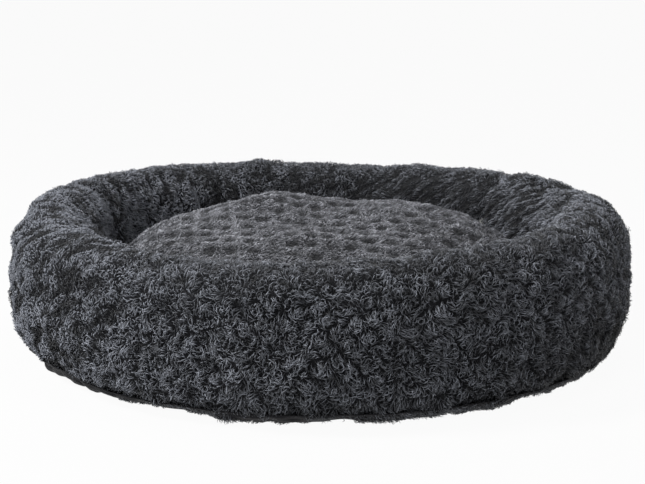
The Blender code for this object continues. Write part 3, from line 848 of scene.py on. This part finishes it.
def ring_facts(root, _normal, _share, _random):
    """How the ring's strands are combed, their sizes, and their shades, with painted light and shade by side.
    """
    inner, right, wall, pleated, low, hem, left, right_end, crest = ring_parts(root)
    outward = unit(root * LEVEL)
    sideways = np.cross(UP, outward)
    across, along = outward[:, 0], outward[:, 1]
    comb = (sideways + 0.75 * UP) * (1.5 * left)[:, None]
    comb += (sideways - 0.75 * UP) * (1.3 * right)[:, None]
    comb += sideways * (0.4 * soft_noise(root, 0.06, 21))[:, None] - outward * (0.5 * crest)[:, None]
    comb -= UP * (0.35 * wall + 0.1 + 0.3 * hem + 0.8 * pleated)[:, None]
    comb += noise_vectors(root, 0.0110, 22) * (0.85 * (1 - 0.3 * inner - 0.3 * left))[:, None]
    leftward = ease(0.2, 0.8, -across)
    front = ease(0.2, 0.9, -along) * (1 - inner) * (1 - crest)
    # Painted light and shade by side. The front, the left side, the left of the crest and the left inner wall
    # are painted lighter. The back and right inner walls, the front of the crest and the low part of the
    # right end are painted darker, as the lamps light them.
    tone_and_painted_light = 1.0 - 0.04 * crest + 0.04 * low + 0.23 * front + 0.33 * left - 0.16 * right
    tone_and_painted_light += 0.34 * crest * leftward + 0.72 * wall * leftward - 0.95 * low * ease(0.35, 0.85, across)
    tone_and_painted_light -= 0.20 * crest * ease(0.2, 0.9, -along) + 0.40 * inner * ease(0.2, 0.8, along)
    return comb, {
        "swirl": 0.85 - 0.25 * crest - 0.45 * right - 0.3 * hem - 0.5 * left - 0.3 * pleated,
        "stray": 0.38 + 0.12 * crest + 0.16 * left + 0.20 * wall + 0.10 * right,
        "reach": 0.0089 - 0.0016 * crest - 0.0010 * wall - 0.0015 * right - 0.0026 * left - 0.0022 * hem,
        "turn": 2.1 - 0.8 * crest - 1.3 * right - 0.9 * hem - 0.8 * left,
        "rise": 0.0052 + 0.0004 * low - 0.0015 * crest - 0.0014 * left - 0.0016 * hem,
        "droop": 0.0006 + 0.0012 * inner + 0.0015 * hem,
        "thick": 0.00047 + 0.00004 * low + 0.00007 * left + 0.00005 * crest,
        # Painted shade: the hem, low on the outer wall near the floor, is painted darker
        "tone_and_painted_light": tone_and_painted_light * (1 - 0.52 * hem),
        "patch": 0.10 + 0.04 * inner,
        "contrast": 0.60 - 0.1 * crest + 0.06 * left + 0.34 * wall + 0.3 * right_end,
    }


def ring_field(points, swirls, share, run):
    """How far the pile swells over the backing at each point, and how light it is there, with painted shade
    in its hollows, furrows and pleats and painted light on its ridges and inner walls.
    """
    inner, right, wall, pleated, low, hem, left, right_end, crest = ring_parts(points)
    angle = angle_of(points)
    mine, far = swirls.nearest(points)
    middle = bell(far, 0.27)
    edge = ease(0.36, 0.60, far)
    opens = swirls.inward[mine] > 0.15
    dome = np.where(opens, 1 - 1.1 * edge, 0.75 - 1.2 * middle - 0.4 * edge)
    length = share * ring_length + run
    blur = soft_noise(points, 0.05, 15)
    blotch = soft_noise(points * (1, 1, 0.5), 0.011, 25)
    patch = soft_noise(points * (1, 1, 0.6), 0.022, 27)
    streak = soft_noise(points * (1, 1, 0.16), 0.0055, 28)
    # Painted light and shade on the left side's long ridges: lighter where the pile swells, darker in the
    # furrows between
    rows = left * (1 - 0.3 * low) * side_rows(angle, length)
    # Painted shade in the right inner wall's furrows, where the pile also sinks
    furrow = 0.5 - 0.5 * np.cos(84 * angle - math.tau * length / 0.0193 + 1.6 * blur)
    furrow = right * furrow ** 1.15 * (0.75 + 0.25 * np.cos(math.tau * length / 0.021 + 3.0 * blur))
    # Painted shade in the left inner wall's pleats, where the pile also sinks
    pleat = pleated * wall_pleats(angle + 0.004 * blur, points[..., 2])
    plain = (1 - 0.7 * crest) * (1 - 0.6 * inner) * (1 - 0.6 * hem) * (1 - 0.7 * left)
    swell = 0.0022 * plain * dome - 0.0058 * furrow - 0.0030 * pleat + 0.0012 * blotch + 0.0010 * rows
    # Painted light on the left side's ridges, on the right inner wall and on the pleated left inner wall, and
    # painted shade in the furrows and pleats. The blotch, patch, streak and speckle are random tone.
    shade = 1 + 1.45 * rows + 0.52 * right + 0.50 * pleated - 1.85 * furrow - 1.70 * pleat
    shade += (0.20 + 0.60 * inner + 0.75 * right_end + 0.25 * left + 0.2 * crest) * blotch
    shade += 1.05 * wall * patch + 0.85 * right_end * (streak - 0.1)
    speckle = 0.26 + 0.26 * left + 0.22 * crest + 0.40 * wall + 0.40 * right_end
    shade += speckle * soft_noise(points, 0.0060, 29)
    # Painted shade at the rosettes' edges and in the hollow middles of the rosettes that close in
    shade -= 0.26 * plain * np.maximum(edge, 1.3 * middle * ~opens)
    return swell, np.maximum(shade, 0.10)


def lip_share(points):
    """How much of the base cloth's bare lip, at the left of the front, there is at each point."""
    return near_angle(angle_of(points), *LIP)


def ring_keep(root):
    """The ring's pile stops at the base cloth's edge."""
    return (root[:, 2] > HEM_HEIGHT + LIP_RISE * lip_share(root)) | (radius_of(root) < CREST_RADIUS)


def ring_widen(height, radius):
    """Where the ring's pile hides behind the cushion, it stands wider apart."""
    return 1.6 if radius < CREST_RADIUS and height < 0.09 else 1.0


def foot_facts(root, _normal, share, _random):
    """The short pile that is left where the plush was sewn to the base, painted darker than the ring's pile,
    and darkest at the floor, as shade.
    """
    sideways = np.cross(UP, unit(root * LEVEL))
    sway = 1.2 * soft_noise(root, 0.05, 37)
    return noise_vectors(root, 0.011, 34) + sideways * sway[:, None] - 0.5 * UP, {
        "swirl": 0.3,
        "stray": 0.35,
        "reach": 0.0046 + 0.0030 * share,
        "turn": 1.0,
        "rise": 0.0012 + 0.0016 * share,
        "droop": 0.0004,
        "thick": 0.00048,
        # Painted shade: darker than the ring's pile, and darkest at the floor
        "tone_and_painted_light": 0.42 + 0.14 * share,
        "patch": 0.10,
        "contrast": 0.50,
    }


def foot_field(points, _swirls, _share, _run):
    blotch = soft_noise(points * (1, 1, 0.5), 0.012, 38)
    return 0.0008 * blotch, np.maximum(1 + 0.5 * blotch, 0.2)


def foot_keep(root):
    """Where the base cloth isn't bare: it shows along its lip and in a few gaps."""
    bare = near_angle(angle_of(root), *BARE_FOOT)
    return soft_noise(root * (1, 1, 0.6), 0.030, 39) > 2.4 * bare - 0.55


def add_ring_fibre():
    """The ring's lumpy fibre filling, under the covers."""
    angle, turn = np.meshgrid(even_angles(144), even_angles(40), indexing="ij")
    radius, height = settle(angle, *ring_section(turn, FIBRE_INSET))
    grid = polar(radius, angle, np.maximum(height, 0.006))
    lumps = 0.0030 * (soft_noise(grid, 0.035, 51) - 1.0)
    grid = grid + unit(grid - polar(CREST_RADIUS, angle, 0.1)) * lumps[..., None]
    dress(loop_piece("ring_fibre", grid, fibre_look), "nest", "bolster_fill")


# The base

QUILT_STEP = 0.085
QUILT_DEPTH = 0.0015
BASE_AROUND = 600
BASE_FLAT_COLUMNS = 26
BASE_EDGE_COLUMNS = 22
FOOT_FIRST_COLUMN = 29


def base_face(inset):
    """One face of the base cloth, gathered and wrinkled where it turns up round the foot."""
    radius, height = ring_section(np.linspace(-math.pi / 2, 0, 200), inset)
    kept = height <= HEM_HEIGHT + 0.002
    run = run_along(radius[kept], height[kept])
    even = np.linspace(0, run[-1], BASE_EDGE_COLUMNS)
    flat = np.linspace(0, CREST_RADIUS - 0.004, BASE_FLAT_COLUMNS)
    radius = np.concatenate([flat, np.interp(even, run, radius[kept])])
    height = np.concatenate([np.full(BASE_FLAT_COLUMNS, inset), np.interp(even, run, height[kept])])
    grid = polar(radius, even_angles(BASE_AROUND)[:, None], height)
    edge = ease(0.375, 0.405, radius_of(grid))
    stretched = grid * (0.22, 0.22, 1.0)
    wrinkles = 0.0032 * soft_noise(stretched, 0.0070, 61) + 0.0016 * soft_noise(stretched, 0.0034, 62)
    scallop = 0.0020 + 0.0046 * soft_noise(grid * LEVEL, 0.030, 64)
    hem = 1 - ease(HEM_HEIGHT - 0.004, HEM_HEIGHT + 0.002, height)
    lip = LIP_RISE * lip_share(grid)
    lift = np.maximum(scallop, 0) * (1 - ease(0.008, 0.024, height))
    lift += 0.3 * wrinkles * ease(0.0, 0.012, height) * hem + lip * ease(0.006, 0.018, height)
    push = (wrinkles + 0.0036 * foot_bulge(grid)) * edge * (0.3 + 0.7 * hem)
    grid = grid + unit(grid * LEVEL) * push[..., None]
    grid[..., 2] = np.clip(height + lift * edge, inset, HEM_HEIGHT + 0.004 + lip)
    return grid


def add_base_cover():
    cover = layer_piece("base_cover", base_face(0.0), base_face(0.0015), base_look)
    dress(cover, "nest", "base_cloth")


def add_nest_floor():
    """The quilted lining of the nest's floor."""
    angle = even_angles(300)[:, None]
    out = np.linspace(0, 1, 80)
    top = polar(FLOOR_RADIUS * out, angle, FLOOR_TOP)
    lines = [math.pi * (top[..., 0] + way * top[..., 1]) / QUILT_STEP for way in (1, -1)]
    diamonds = np.abs(np.sin(lines[0]) * np.sin(lines[1]))
    top[..., 2] -= QUILT_DEPTH * (1 - diamonds ** 0.55) * (out < 0.98)
    floor = layer_piece("nest_floor", top, polar(FLOOR_RADIUS * out, angle, FLOOR_BASE - 0.0002), lining_look)
    dress(floor, "nest", "floor_cloth")


def add_base_wadding():
    """The lumpy wadding under the nest's floor."""
    angle = even_angles(240)[:, None]
    radius = (FLOOR_RADIUS - 0.004) * np.linspace(0, 1, 40)
    lumps = 0.0012 * soft_noise(polar(radius, angle, 0.0), 0.03, 71)
    top = polar(radius, angle, WADDING_TOP - 0.0014 + np.minimum(lumps, 0.001))
    batt = layer_piece("base_batt", top, polar(radius, angle, WADDING_BASE + 0.0002), fibre_look)
    dress(batt, "nest", "base_wadding")


# The cushion

CUSHION_PILE_DEPTH = 0.0042
CUSHION_AROUND = 320
PILE_EDGE = 0.0495
DIMPLE_GAP = 0.0290
DIMPLE_ROWS = 0.0400
DIMPLE_TILT = math.radians(-14)
DIMPLE_DEPTH = 0.0030
DIMPLE_SPREAD = 0.34
DIMPLE_WANDER = 0.003
CROWN_RADIUS = 0.286
SIDE_RADIUS = 0.288
SIDE_HEIGHTS = (0.11, 0.085, 0.062)
CUSHION_FIBRE_INSET = 0.0125
WINDOW_STEPS = 64


def cushion_sections(angles, inset, edges):
    """The cushion's upper face from near the crown's middle to its edge at these heights."""
    angle = angles[:, None]
    turns = np.linspace(math.pi / 2, 0, 400)
    out_share = np.cos(turns) ** (2 / CUSHION_FULLNESS)
    up_share = np.sin(turns) ** (2 / CUSHION_FULLNESS)
    run = run_along(out_share * CUSHION_RADIUS, up_share * CUSHION_CROWN_RISE)
    even = np.linspace(0, run[-1], 64)
    out_share = np.maximum(np.interp(even, run, out_share), 0.002)
    up_share = np.interp(even, run, up_share)
    x, y = CUSHION_RADIUS * out_share * np.cos(angle), CUSHION_RADIUS * out_share * np.sin(angle)
    hump = sum(rise * bell(np.hypot(x - mid_x, y - mid_y), width) for rise, mid_x, mid_y, width in HUMPS)
    top = CUSHION_WIDEST_HEIGHT + (CUSHION_CROWN_RISE - inset + hump) * up_share
    lower = np.linspace(0, math.pi / 2, 12)[1:]
    side = CUSHION_WIDEST_HEIGHT - (CUSHION_WIDEST_HEIGHT - CUSHION_BAND_TOP - inset) * np.sin(lower)
    band = side[-1] + (np.asarray(edges)[:, None] - side[-1]) * np.linspace(0, 1, 6)[1:]
    bulge = (CUSHION_RADIUS - CUSHION_BAND_RADIUS) * np.cos(lower)
    foot = CUSHION_BAND_RADIUS - inset
    radius = np.concatenate([(CUSHION_RADIUS - inset) * out_share, foot + bulge, np.full(5, foot)])
    return polar(radius, angle, np.concatenate([top, np.tile(side, (len(angles), 1)), band], axis=1))


def with_relief(grid, dimples=None):
    """The cushion's face with its swell, soft lumps and the dimples where the pile parts."""
    relief = 0.0024 * soft_noise(grid, 0.075, 31) + 0.0012 * soft_noise(grid, 0.034, 32)
    if cushion_swell:
        relief += cushion_swell.at(grid)
    relief *= ease(0.064, 0.085, grid[..., 2])
    if dimples:
        relief -= DIMPLE_DEPTH * bell(dimples.nearest(grid)[1], DIMPLE_SPREAD)
    return grid - grid_frames(grid)[0] * relief[..., None]


def cushion_skin():
    """The cushion's skin swollen by its fibre, held along the zip and at the seam below it."""
    angles = even_angles(160)
    inset = CUSHION_PILE_DEPTH + 0.006
    top = cushion_sections(angles, inset, np.full(160, ZIP_HEIGHT))
    low_radius = np.linspace(1, 0.02, 30) * (CUSHION_BAND_RADIUS - inset)
    low = polar(low_radius, angles[:, None], CUSHION_BASE + 0.006)

    def held(points):
        return (points[:, 2] < 0.062) & (radius_of(points) > 0.05) | (points[:, 2] < 0.02)

    def bands(points):
        return radius_of(points) / 0.03 + 20 * (points[:, 2] < 0.09)

    return Swell("cushion_skin", np.concatenate([top, low], axis=1), held, bands, 0.0065, 0.0016)


def in_window(points, margin):
    """Whether points of the cushion's band lie at the zip."""
    off = np.abs(from_angle(angle_of(points), ZIP_MIDDLE)) * CUSHION_BAND_RADIUS
    tall = np.abs(points[..., 2] - ZIP_HEIGHT)
    return (off < ZIP_HALF_ANGLE * CUSHION_BAND_RADIUS + margin) & (tall < WINDOW_HALF_HEIGHT + margin)


def underside_face(angles, edges, inset):
    """One face of the cushion's cloth underside, puckered at its corner, up to edges at these heights."""
    corner = np.linspace(0, math.pi / 2, 10)
    middle = CUSHION_BAND_RADIUS - CUSHION_FOOT_CORNER
    flat = np.linspace(0.002, 1, 40)[:-1] * middle
    turned_up = middle + (CUSHION_FOOT_CORNER - inset) * np.sin(corner)
    radius = np.concatenate([flat, turned_up, np.full(3, CUSHION_BAND_RADIUS - inset)])
    foot = CUSHION_BAND_FOOT - (CUSHION_BAND_FOOT - CUSHION_BASE - inset) * np.cos(corner)
    low = np.concatenate([np.full(len(flat), CUSHION_BASE + inset), foot])
    band = CUSHION_BAND_FOOT + (edges[:, None] - CUSHION_BAND_FOOT) * np.linspace(0, 1, 4)[1:]
    height = np.concatenate([np.tile(low, (len(angles), 1)), band], axis=1)
    grid = polar(radius, angles[:, None], height)
    puckers = 0.0010 * soft_noise(grid * (1, 1, 0.3), 0.012, 81) + 0.0012 * soft_noise(grid, 0.04, 82)
    plain = 1 - in_window(grid, 0.004)
    upright = ease(CUSHION_BAND_FOOT - 0.012, CUSHION_BAND_FOOT, height) * plain
    grid = grid - unit(grid * LEVEL) * (np.abs(puckers) * upright)[..., None]
    lift = np.maximum(puckers + 0.0004, 0) * (1 - upright) * ease(0.02, 0.03, 0.05 - height)
    grid[..., 2] += lift * plain
    return grid


def add_cushion_covers(dimples):
    """The cushion's plush top and cloth underside, cut back round the zip."""
    start = ZIP_MIDDLE - ZIP_HALF_ANGLE
    end = ZIP_MIDDLE + ZIP_HALF_ANGLE
    inside = np.linspace(start, end, WINDOW_STEPS)
    angles = np.concatenate([inside, np.linspace(end, start + math.tau, 250)])
    window = np.where(np.arange(len(angles)) < WINDOW_STEPS, WINDOW_HALF_HEIGHT, 0.0)
    outer, inner = (
        with_relief(cushion_sections(angles, CUSHION_PILE_DEPTH + depth, ZIP_HEIGHT + window), dimples)
        for depth in (0.0010, 0.0030)
    )
    cover = shell_piece("cushion_cover", outer, inner, cushion_backing_look, True)
    dress(cover, "cushion", "cushion_top")
    outer, inner = (underside_face(angles, ZIP_HEIGHT - window, inset) for inset in (0.0, 0.0018))
    under = shell_piece("cushion_underside", outer, inner, lining_look, True)
    dress(under, "cushion", "cushion_bottom")


def cushion_pile_ground():
    edges = np.full(CUSHION_AROUND, PILE_EDGE)
    return with_relief(cushion_sections(even_angles(CUSHION_AROUND), CUSHION_PILE_DEPTH, edges))[:, ::-1]


def cushion_dimples(ground, random):
    """Middles of the swirls on the cushion, in diagonal rows on its crown and in rings on its side."""
    line = np.arange(-24, 25)
    places = np.array([(DIMPLE_GAP * (i + 0.5 * (j % 2)), DIMPLE_ROWS * j) for i in line for j in line])
    cos, sin = math.cos(DIMPLE_TILT), math.sin(DIMPLE_TILT)
    places = places @ np.array([[cos, sin], [-sin, cos]])
    places = places + random.uniform(-DIMPLE_WANDER, DIMPLE_WANDER, places.shape)
    places = places[radius_of(places) < CROWN_RADIUS]
    tree = BVHTree.FromPolygons(ground.reshape(-1, 3).tolist(), grid_faces(*ground.shape[:2]).tolist())
    hits = [tree.ray_cast((x, y, 0.3), (0, 0, -1))[0] for x, y in places.tolist()]
    crown = [tuple(hit) for hit in hits if hit is not None]
    sides = [polar(SIDE_RADIUS, even_angles(60) + 10 * height, height) for height in SIDE_HEIGHTS]
    return np.concatenate([crown, *sides])


def cushion_facts(root, normal, _share, random):
    """How the cushion's strands are combed, their sizes and their shades, with painted shade on the cushion's
    side.
    """
    side = 1 - ease(0.35, 0.75, normal[:, 2])
    wander = soft_noise(root, 0.05, 41)
    sweep = 0.35 * soft_noise(root, 0.09, 42)
    along = np.stack([np.ones(len(root)), sweep, np.zeros(len(root))], axis=1)
    along *= np.where(random.random(len(root)) < 0.85, 1.0, -1.0)[:, None]
    return along * (1.2 + 0.3 * wander)[:, None] + 0.7 * noise_vectors(root, 0.014, 43), {
        "swirl": 0.55 + 0.3 * side,
        "stray": 0.32,
        "reach": 0.0064 + 0.0005 * side,
        "turn": 0.8,
        "rise": 0.0030 + 0.0010 * side,
        "droop": 0.0002 + 0.0008 * side,
        "thick": 0.00047,
        # Painted shade: the cushion's side, under its bulge, is darker than its crown; the wander is random
        # tone
        "tone_and_painted_light": 0.82 - 0.16 * side + 0.05 * wander,
        "patch": 0.06,
        "contrast": 0.50,
    }


def cushion_field(points, swirls, _share, _run):
    """How far the cushion's pile swells at each point, and how light it is, with painted shade in its
    dimples, stronger towards the front.
    """
    mine, far = swirls.nearest(points)
    # Painted shade: the pile is darker in each dimple, where it also dips, and more so towards the front
    dimple = bell(far, DIMPLE_SPREAD) * (1 + 0.25 * swirls.strengths[mine])
    dimple *= 1 + 0.2 * ease(-0.05, 0.15, -points[..., 1])
    blotch = soft_noise(points, 0.010, 46)
    return 0.0008 * blotch - DIMPLE_DEPTH * dimple, np.maximum(1.16 + 0.16 * blotch - dimple, 0.14)


def add_cushion_fibre():
    """The loose fibre inside the cushion."""
    angles = even_angles(120)
    top = cushion_sections(angles, CUSHION_FIBRE_INSET, np.full(120, ZIP_HEIGHT))[:, ::2]
    top[:, 0] = top[:, 0].mean(axis=0)
    corner = np.linspace(math.pi / 2, 0, 6)
    middle = CUSHION_BAND_RADIUS - CUSHION_FOOT_CORNER
    foot = middle + (CUSHION_FOOT_CORNER - CUSHION_FIBRE_INSET) * np.sin(corner)
    radius = np.concatenate([foot, np.linspace(middle, 0, 20)[1:]])
    height = CUSHION_BAND_FOOT - (CUSHION_BAND_FOOT - CUSHION_BASE - 0.006) * np.cos(corner)
    low = polar(radius, angles[:, None], np.concatenate([height, np.full(19, CUSHION_BASE + 0.006)]))
    sections = np.concatenate([top, low], axis=1)
    lumps = 0.0030 * (soft_noise(sections, 0.03, 91) - 1.0)
    lumps[:, [0, -1]] = 0
    sections = sections + unit(sections - 0.09 * UP) * lumps[..., None]
    fibre = round_piece("cushion_fibre", sections, fibre_look)
    dress(fibre, "cushion", "cushion_fill")


# The welt round the zip's window and its stitches

WELT_MARGIN = 0.0012
WELT_CORNER = 0.004
WELT_RADIUS = 0.0014
WELT_SINK = 0.0006
STITCH_STEP = 0.0042
STITCH_LENGTH = 0.0030
STITCH_RADIUS = 0.00028
STITCH_LIFT = 0.0009
STITCH_SINKS = np.array([0.0009, 0.0002, 0.0, 0.0002, 0.0009])


def add_zip_trim():
    half_run = ZIP_HALF_ANGLE * CUSHION_BAND_RADIUS + WELT_MARGIN - WELT_CORNER
    half_rise = WINDOW_HALF_HEIGHT + WELT_MARGIN - WELT_CORNER
    outline = []
    for quarter, (side, up) in enumerate(((1, 1), (-1, 1), (-1, -1), (1, -1))):
        for turn in np.radians(90 * quarter + np.arange(0, 91, 15)).tolist():
            across = side * half_run + WELT_CORNER * math.cos(turn)
            outline.append((across, up * half_rise + WELT_CORNER * math.sin(turn)))
    across, rise = np.array(outline + outline[:1]).T
    run = run_along(across, rise)

    def on_band(places, radius):
        angle = ZIP_MIDDLE + np.interp(places % run[-1], run, across) / CUSHION_BAND_RADIUS
        return polar(radius, angle, ZIP_HEIGHT + np.interp(places % run[-1], run, rise))

    path = on_band(np.linspace(0, run[-1], 420, endpoint=False), CUSHION_BAND_RADIUS - WELT_SINK)
    along = unit(np.roll(path, -1, axis=0) - np.roll(path, 1, axis=0))
    outward = unit(path * LEVEL)
    grid = path[:, None] + WELT_RADIUS * spokes(8, outward, unit(np.cross(along, outward)))
    dress(loop_piece("zip_welt", grid, lining_look), "cushion")
    starts = np.arange(0, run[-1] - WELT_CORNER, STITCH_STEP)
    steps = np.linspace(0, STITCH_LENGTH, len(STITCH_SINKS))
    threads = on_band(starts[:, None] + steps, CUSHION_BAND_RADIUS + STITCH_LIFT)
    outward = unit(threads.mean(axis=1, keepdims=True) * LEVEL)
    threads = threads - outward * STITCH_SINKS[:, None]
    tubes = tube_mesh(threads, np.full(threads.shape[:2], STITCH_RADIUS), 5)
    dress(mesh_object("zip_stitches", *tubes, thread_look), "cushion")


# Stage, lights and camera

STAGE_HALF_SIZE = 30.0
STAGE_DROP = 0.0005
LAMP_AIM = (0, 0, 0.1)

# Each lamp's name, place, size and power
LAMPS = (
    ("key", (-2.3, -0.6, 2.3), 0.8, 98),
    ("top", (0.5, -0.2, 2.6), 1.0, 14),
    ("fill", (-1.3, -2.3, 1.3), 1.2, 20),
)


def seen_share(tree):
    """1 where a ray of the camera, a reflection or a transmission looks, and 0 for soft light."""
    path = add_node(tree, "LightPath").outputs
    seen = add_math(tree, "MAXIMUM", path["Is Camera Ray"], path["Is Glossy Ray"])
    return add_math(tree, "MAXIMUM", seen, path["Is Transmission Ray"])


def add_floor():
    """A wide floor that looks white and throws back grey light."""
    look = bpy.data.materials.new("floor")
    tree = empty_tree(look)
    grey = add_node(tree, "BsdfDiffuse", {"Color": (0.55, 0.55, 0.55, 1)})
    glow = add_node(tree, "Emission", {"Color": (1, 1, 1, 1)})
    share = add_math(tree, "MULTIPLY", seen_share(tree), 0.95)
    both = add_node(tree, "MixShader", {0: share, 1: grey.outputs[0], 2: glow.outputs[0]})
    add_node(tree, "OutputMaterial", {0: both.outputs[0]})
    ends = ((-1, -1), (1, -1), (1, 1), (-1, 1))
    corners = [(x * STAGE_HALF_SIZE, y * STAGE_HALF_SIZE, -STAGE_DROP) for x, y in ends]
    floor = mesh_object("floor", corners, [[0, 1, 2, 3]], [], look, smooth=False)


def add_world():
    """A white room that lights softly."""
    world = bpy.data.worlds.new("studio")
    bpy.context.scene.world = world
    tree = empty_tree(world)
    light, white = (
        add_node(tree, "Background", {"Color": (1, 1, 1, 1), "Strength": strength}).outputs[0]
        for strength in (0.18, 0.97)
    )
    both = add_node(tree, "MixShader", {0: seen_share(tree), 1: light, 2: white})
    add_node(tree, "OutputWorld", {0: both.outputs[0]})


def aimed_object(data, place, way):
    """A lamp or a camera at this place that looks this way."""
    made = bpy.data.objects.new(data.name, data)
    bpy.context.collection.objects.link(made)
    made.location = place
    made.rotation_mode = "QUATERNION"
    made.rotation_quaternion = way.to_track_quat("-Z", "Y")
    return made


def add_lamp(name, place, size, power):
    data = bpy.data.lights.new(name, "AREA")
    data.shape = "DISK"
    data.size = size
    data.energy = power
    aimed_object(data, place, Vector(LAMP_AIM) - Vector(place))


def add_camera():
    data = bpy.data.cameras.new("camera")
    data.sensor_width = 36.0
    data.sensor_fit = "HORIZONTAL"
    data.lens = FOCAL_PIXELS * data.sensor_width / IMAGE_WIDTH
    data.shift_x = SHIFT_X
    data.shift_y = SHIFT_Y
    data.clip_end = 100.0
    back = Vector((0, -math.cos(CAMERA_TILT), math.sin(CAMERA_TILT)))
    place = Vector((0, 0, TARGET_HEIGHT)) + back * CAMERA_DISTANCE
    bpy.context.scene.camera = aimed_object(data, place, -back)


# How each stretch of pile is laid: its facts, its field and the pieces it is cut into

RING_STYLE = {
    "facts": ring_facts,
    "widen": ring_widen,
    "keep": ring_keep,
    "field": ring_field,
    "look": ring_pile_look,
    "body": "nest",
    "slot": "charcoal_plush",
    "seed": 5,
    "pieces": 16,
    "gap": 0.0029,
}
FOOT_STYLE = {
    **RING_STYLE,
    "facts": foot_facts,
    "widen": lambda height, radius: 1.0,
    "keep": foot_keep,
    "field": foot_field,
    "seed": 7,
    "pieces": 4,
}
CUSHION_STYLE = {
    "facts": cushion_facts,
    "widen": lambda height, radius: 1.0 if height > 0.09 else 1.5,
    "keep": lambda root: ~in_window(root, 0.005),
    "field": cushion_field,
    "look": cushion_pile_look,
    "body": "cushion",
    "slot": "cushion_plush",
    "seed": 6,
    "pieces": 6,
    "gap": 0.0027,
}

# The whole scene

add_camera()
add_floor()
add_world()
for lamp in LAMPS:
    add_lamp(*lamp)
bpy.context.scene.view_settings.view_transform = "Standard"

ring_swell = ring_skin()
cushion_swell = cushion_skin()
placing = np.random.default_rng(3)
ring_ground, ring_length = ring_grid(PILE_DEPTH)
add_ring_covers()
add_ring_fibre()
rosettes = Swirls(ring_rosettes(ring_ground, ring_length, placing), ROSETTE_GAP, (-0.5, 0.6), 105)
grow_pile("ring_pile", ring_ground, rosettes, RING_STYLE)
add_base_cover()
add_nest_floor()
add_base_wadding()
grow_pile("foot_pile", base_face(0.0)[:, FOOT_FIRST_COLUMN:], rosettes, FOOT_STYLE)

cushion_ground = cushion_pile_ground()
cushion_swirls = Swirls(cushion_dimples(cushion_ground, placing), DIMPLE_GAP, (-0.6, 0.2), 106, 0.72)
add_cushion_covers(cushion_swirls)
add_cushion_fibre()
grow_pile("cushion_pile", cushion_ground, cushion_swirls, CUSHION_STYLE)
add_zip_trim()

for names, look in (
    (("zip_tape_upper", "zip_tape_lower"), tape_look),
    (("zip_teeth_upper", "zip_teeth_lower", "zip_stop_closed_end", "zip_stop_open_end"), plastic_look),
    (("zip_slider", "zip_pull"), metal_look),
):
    for node in names:
        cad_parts[node].data.materials[0] = look
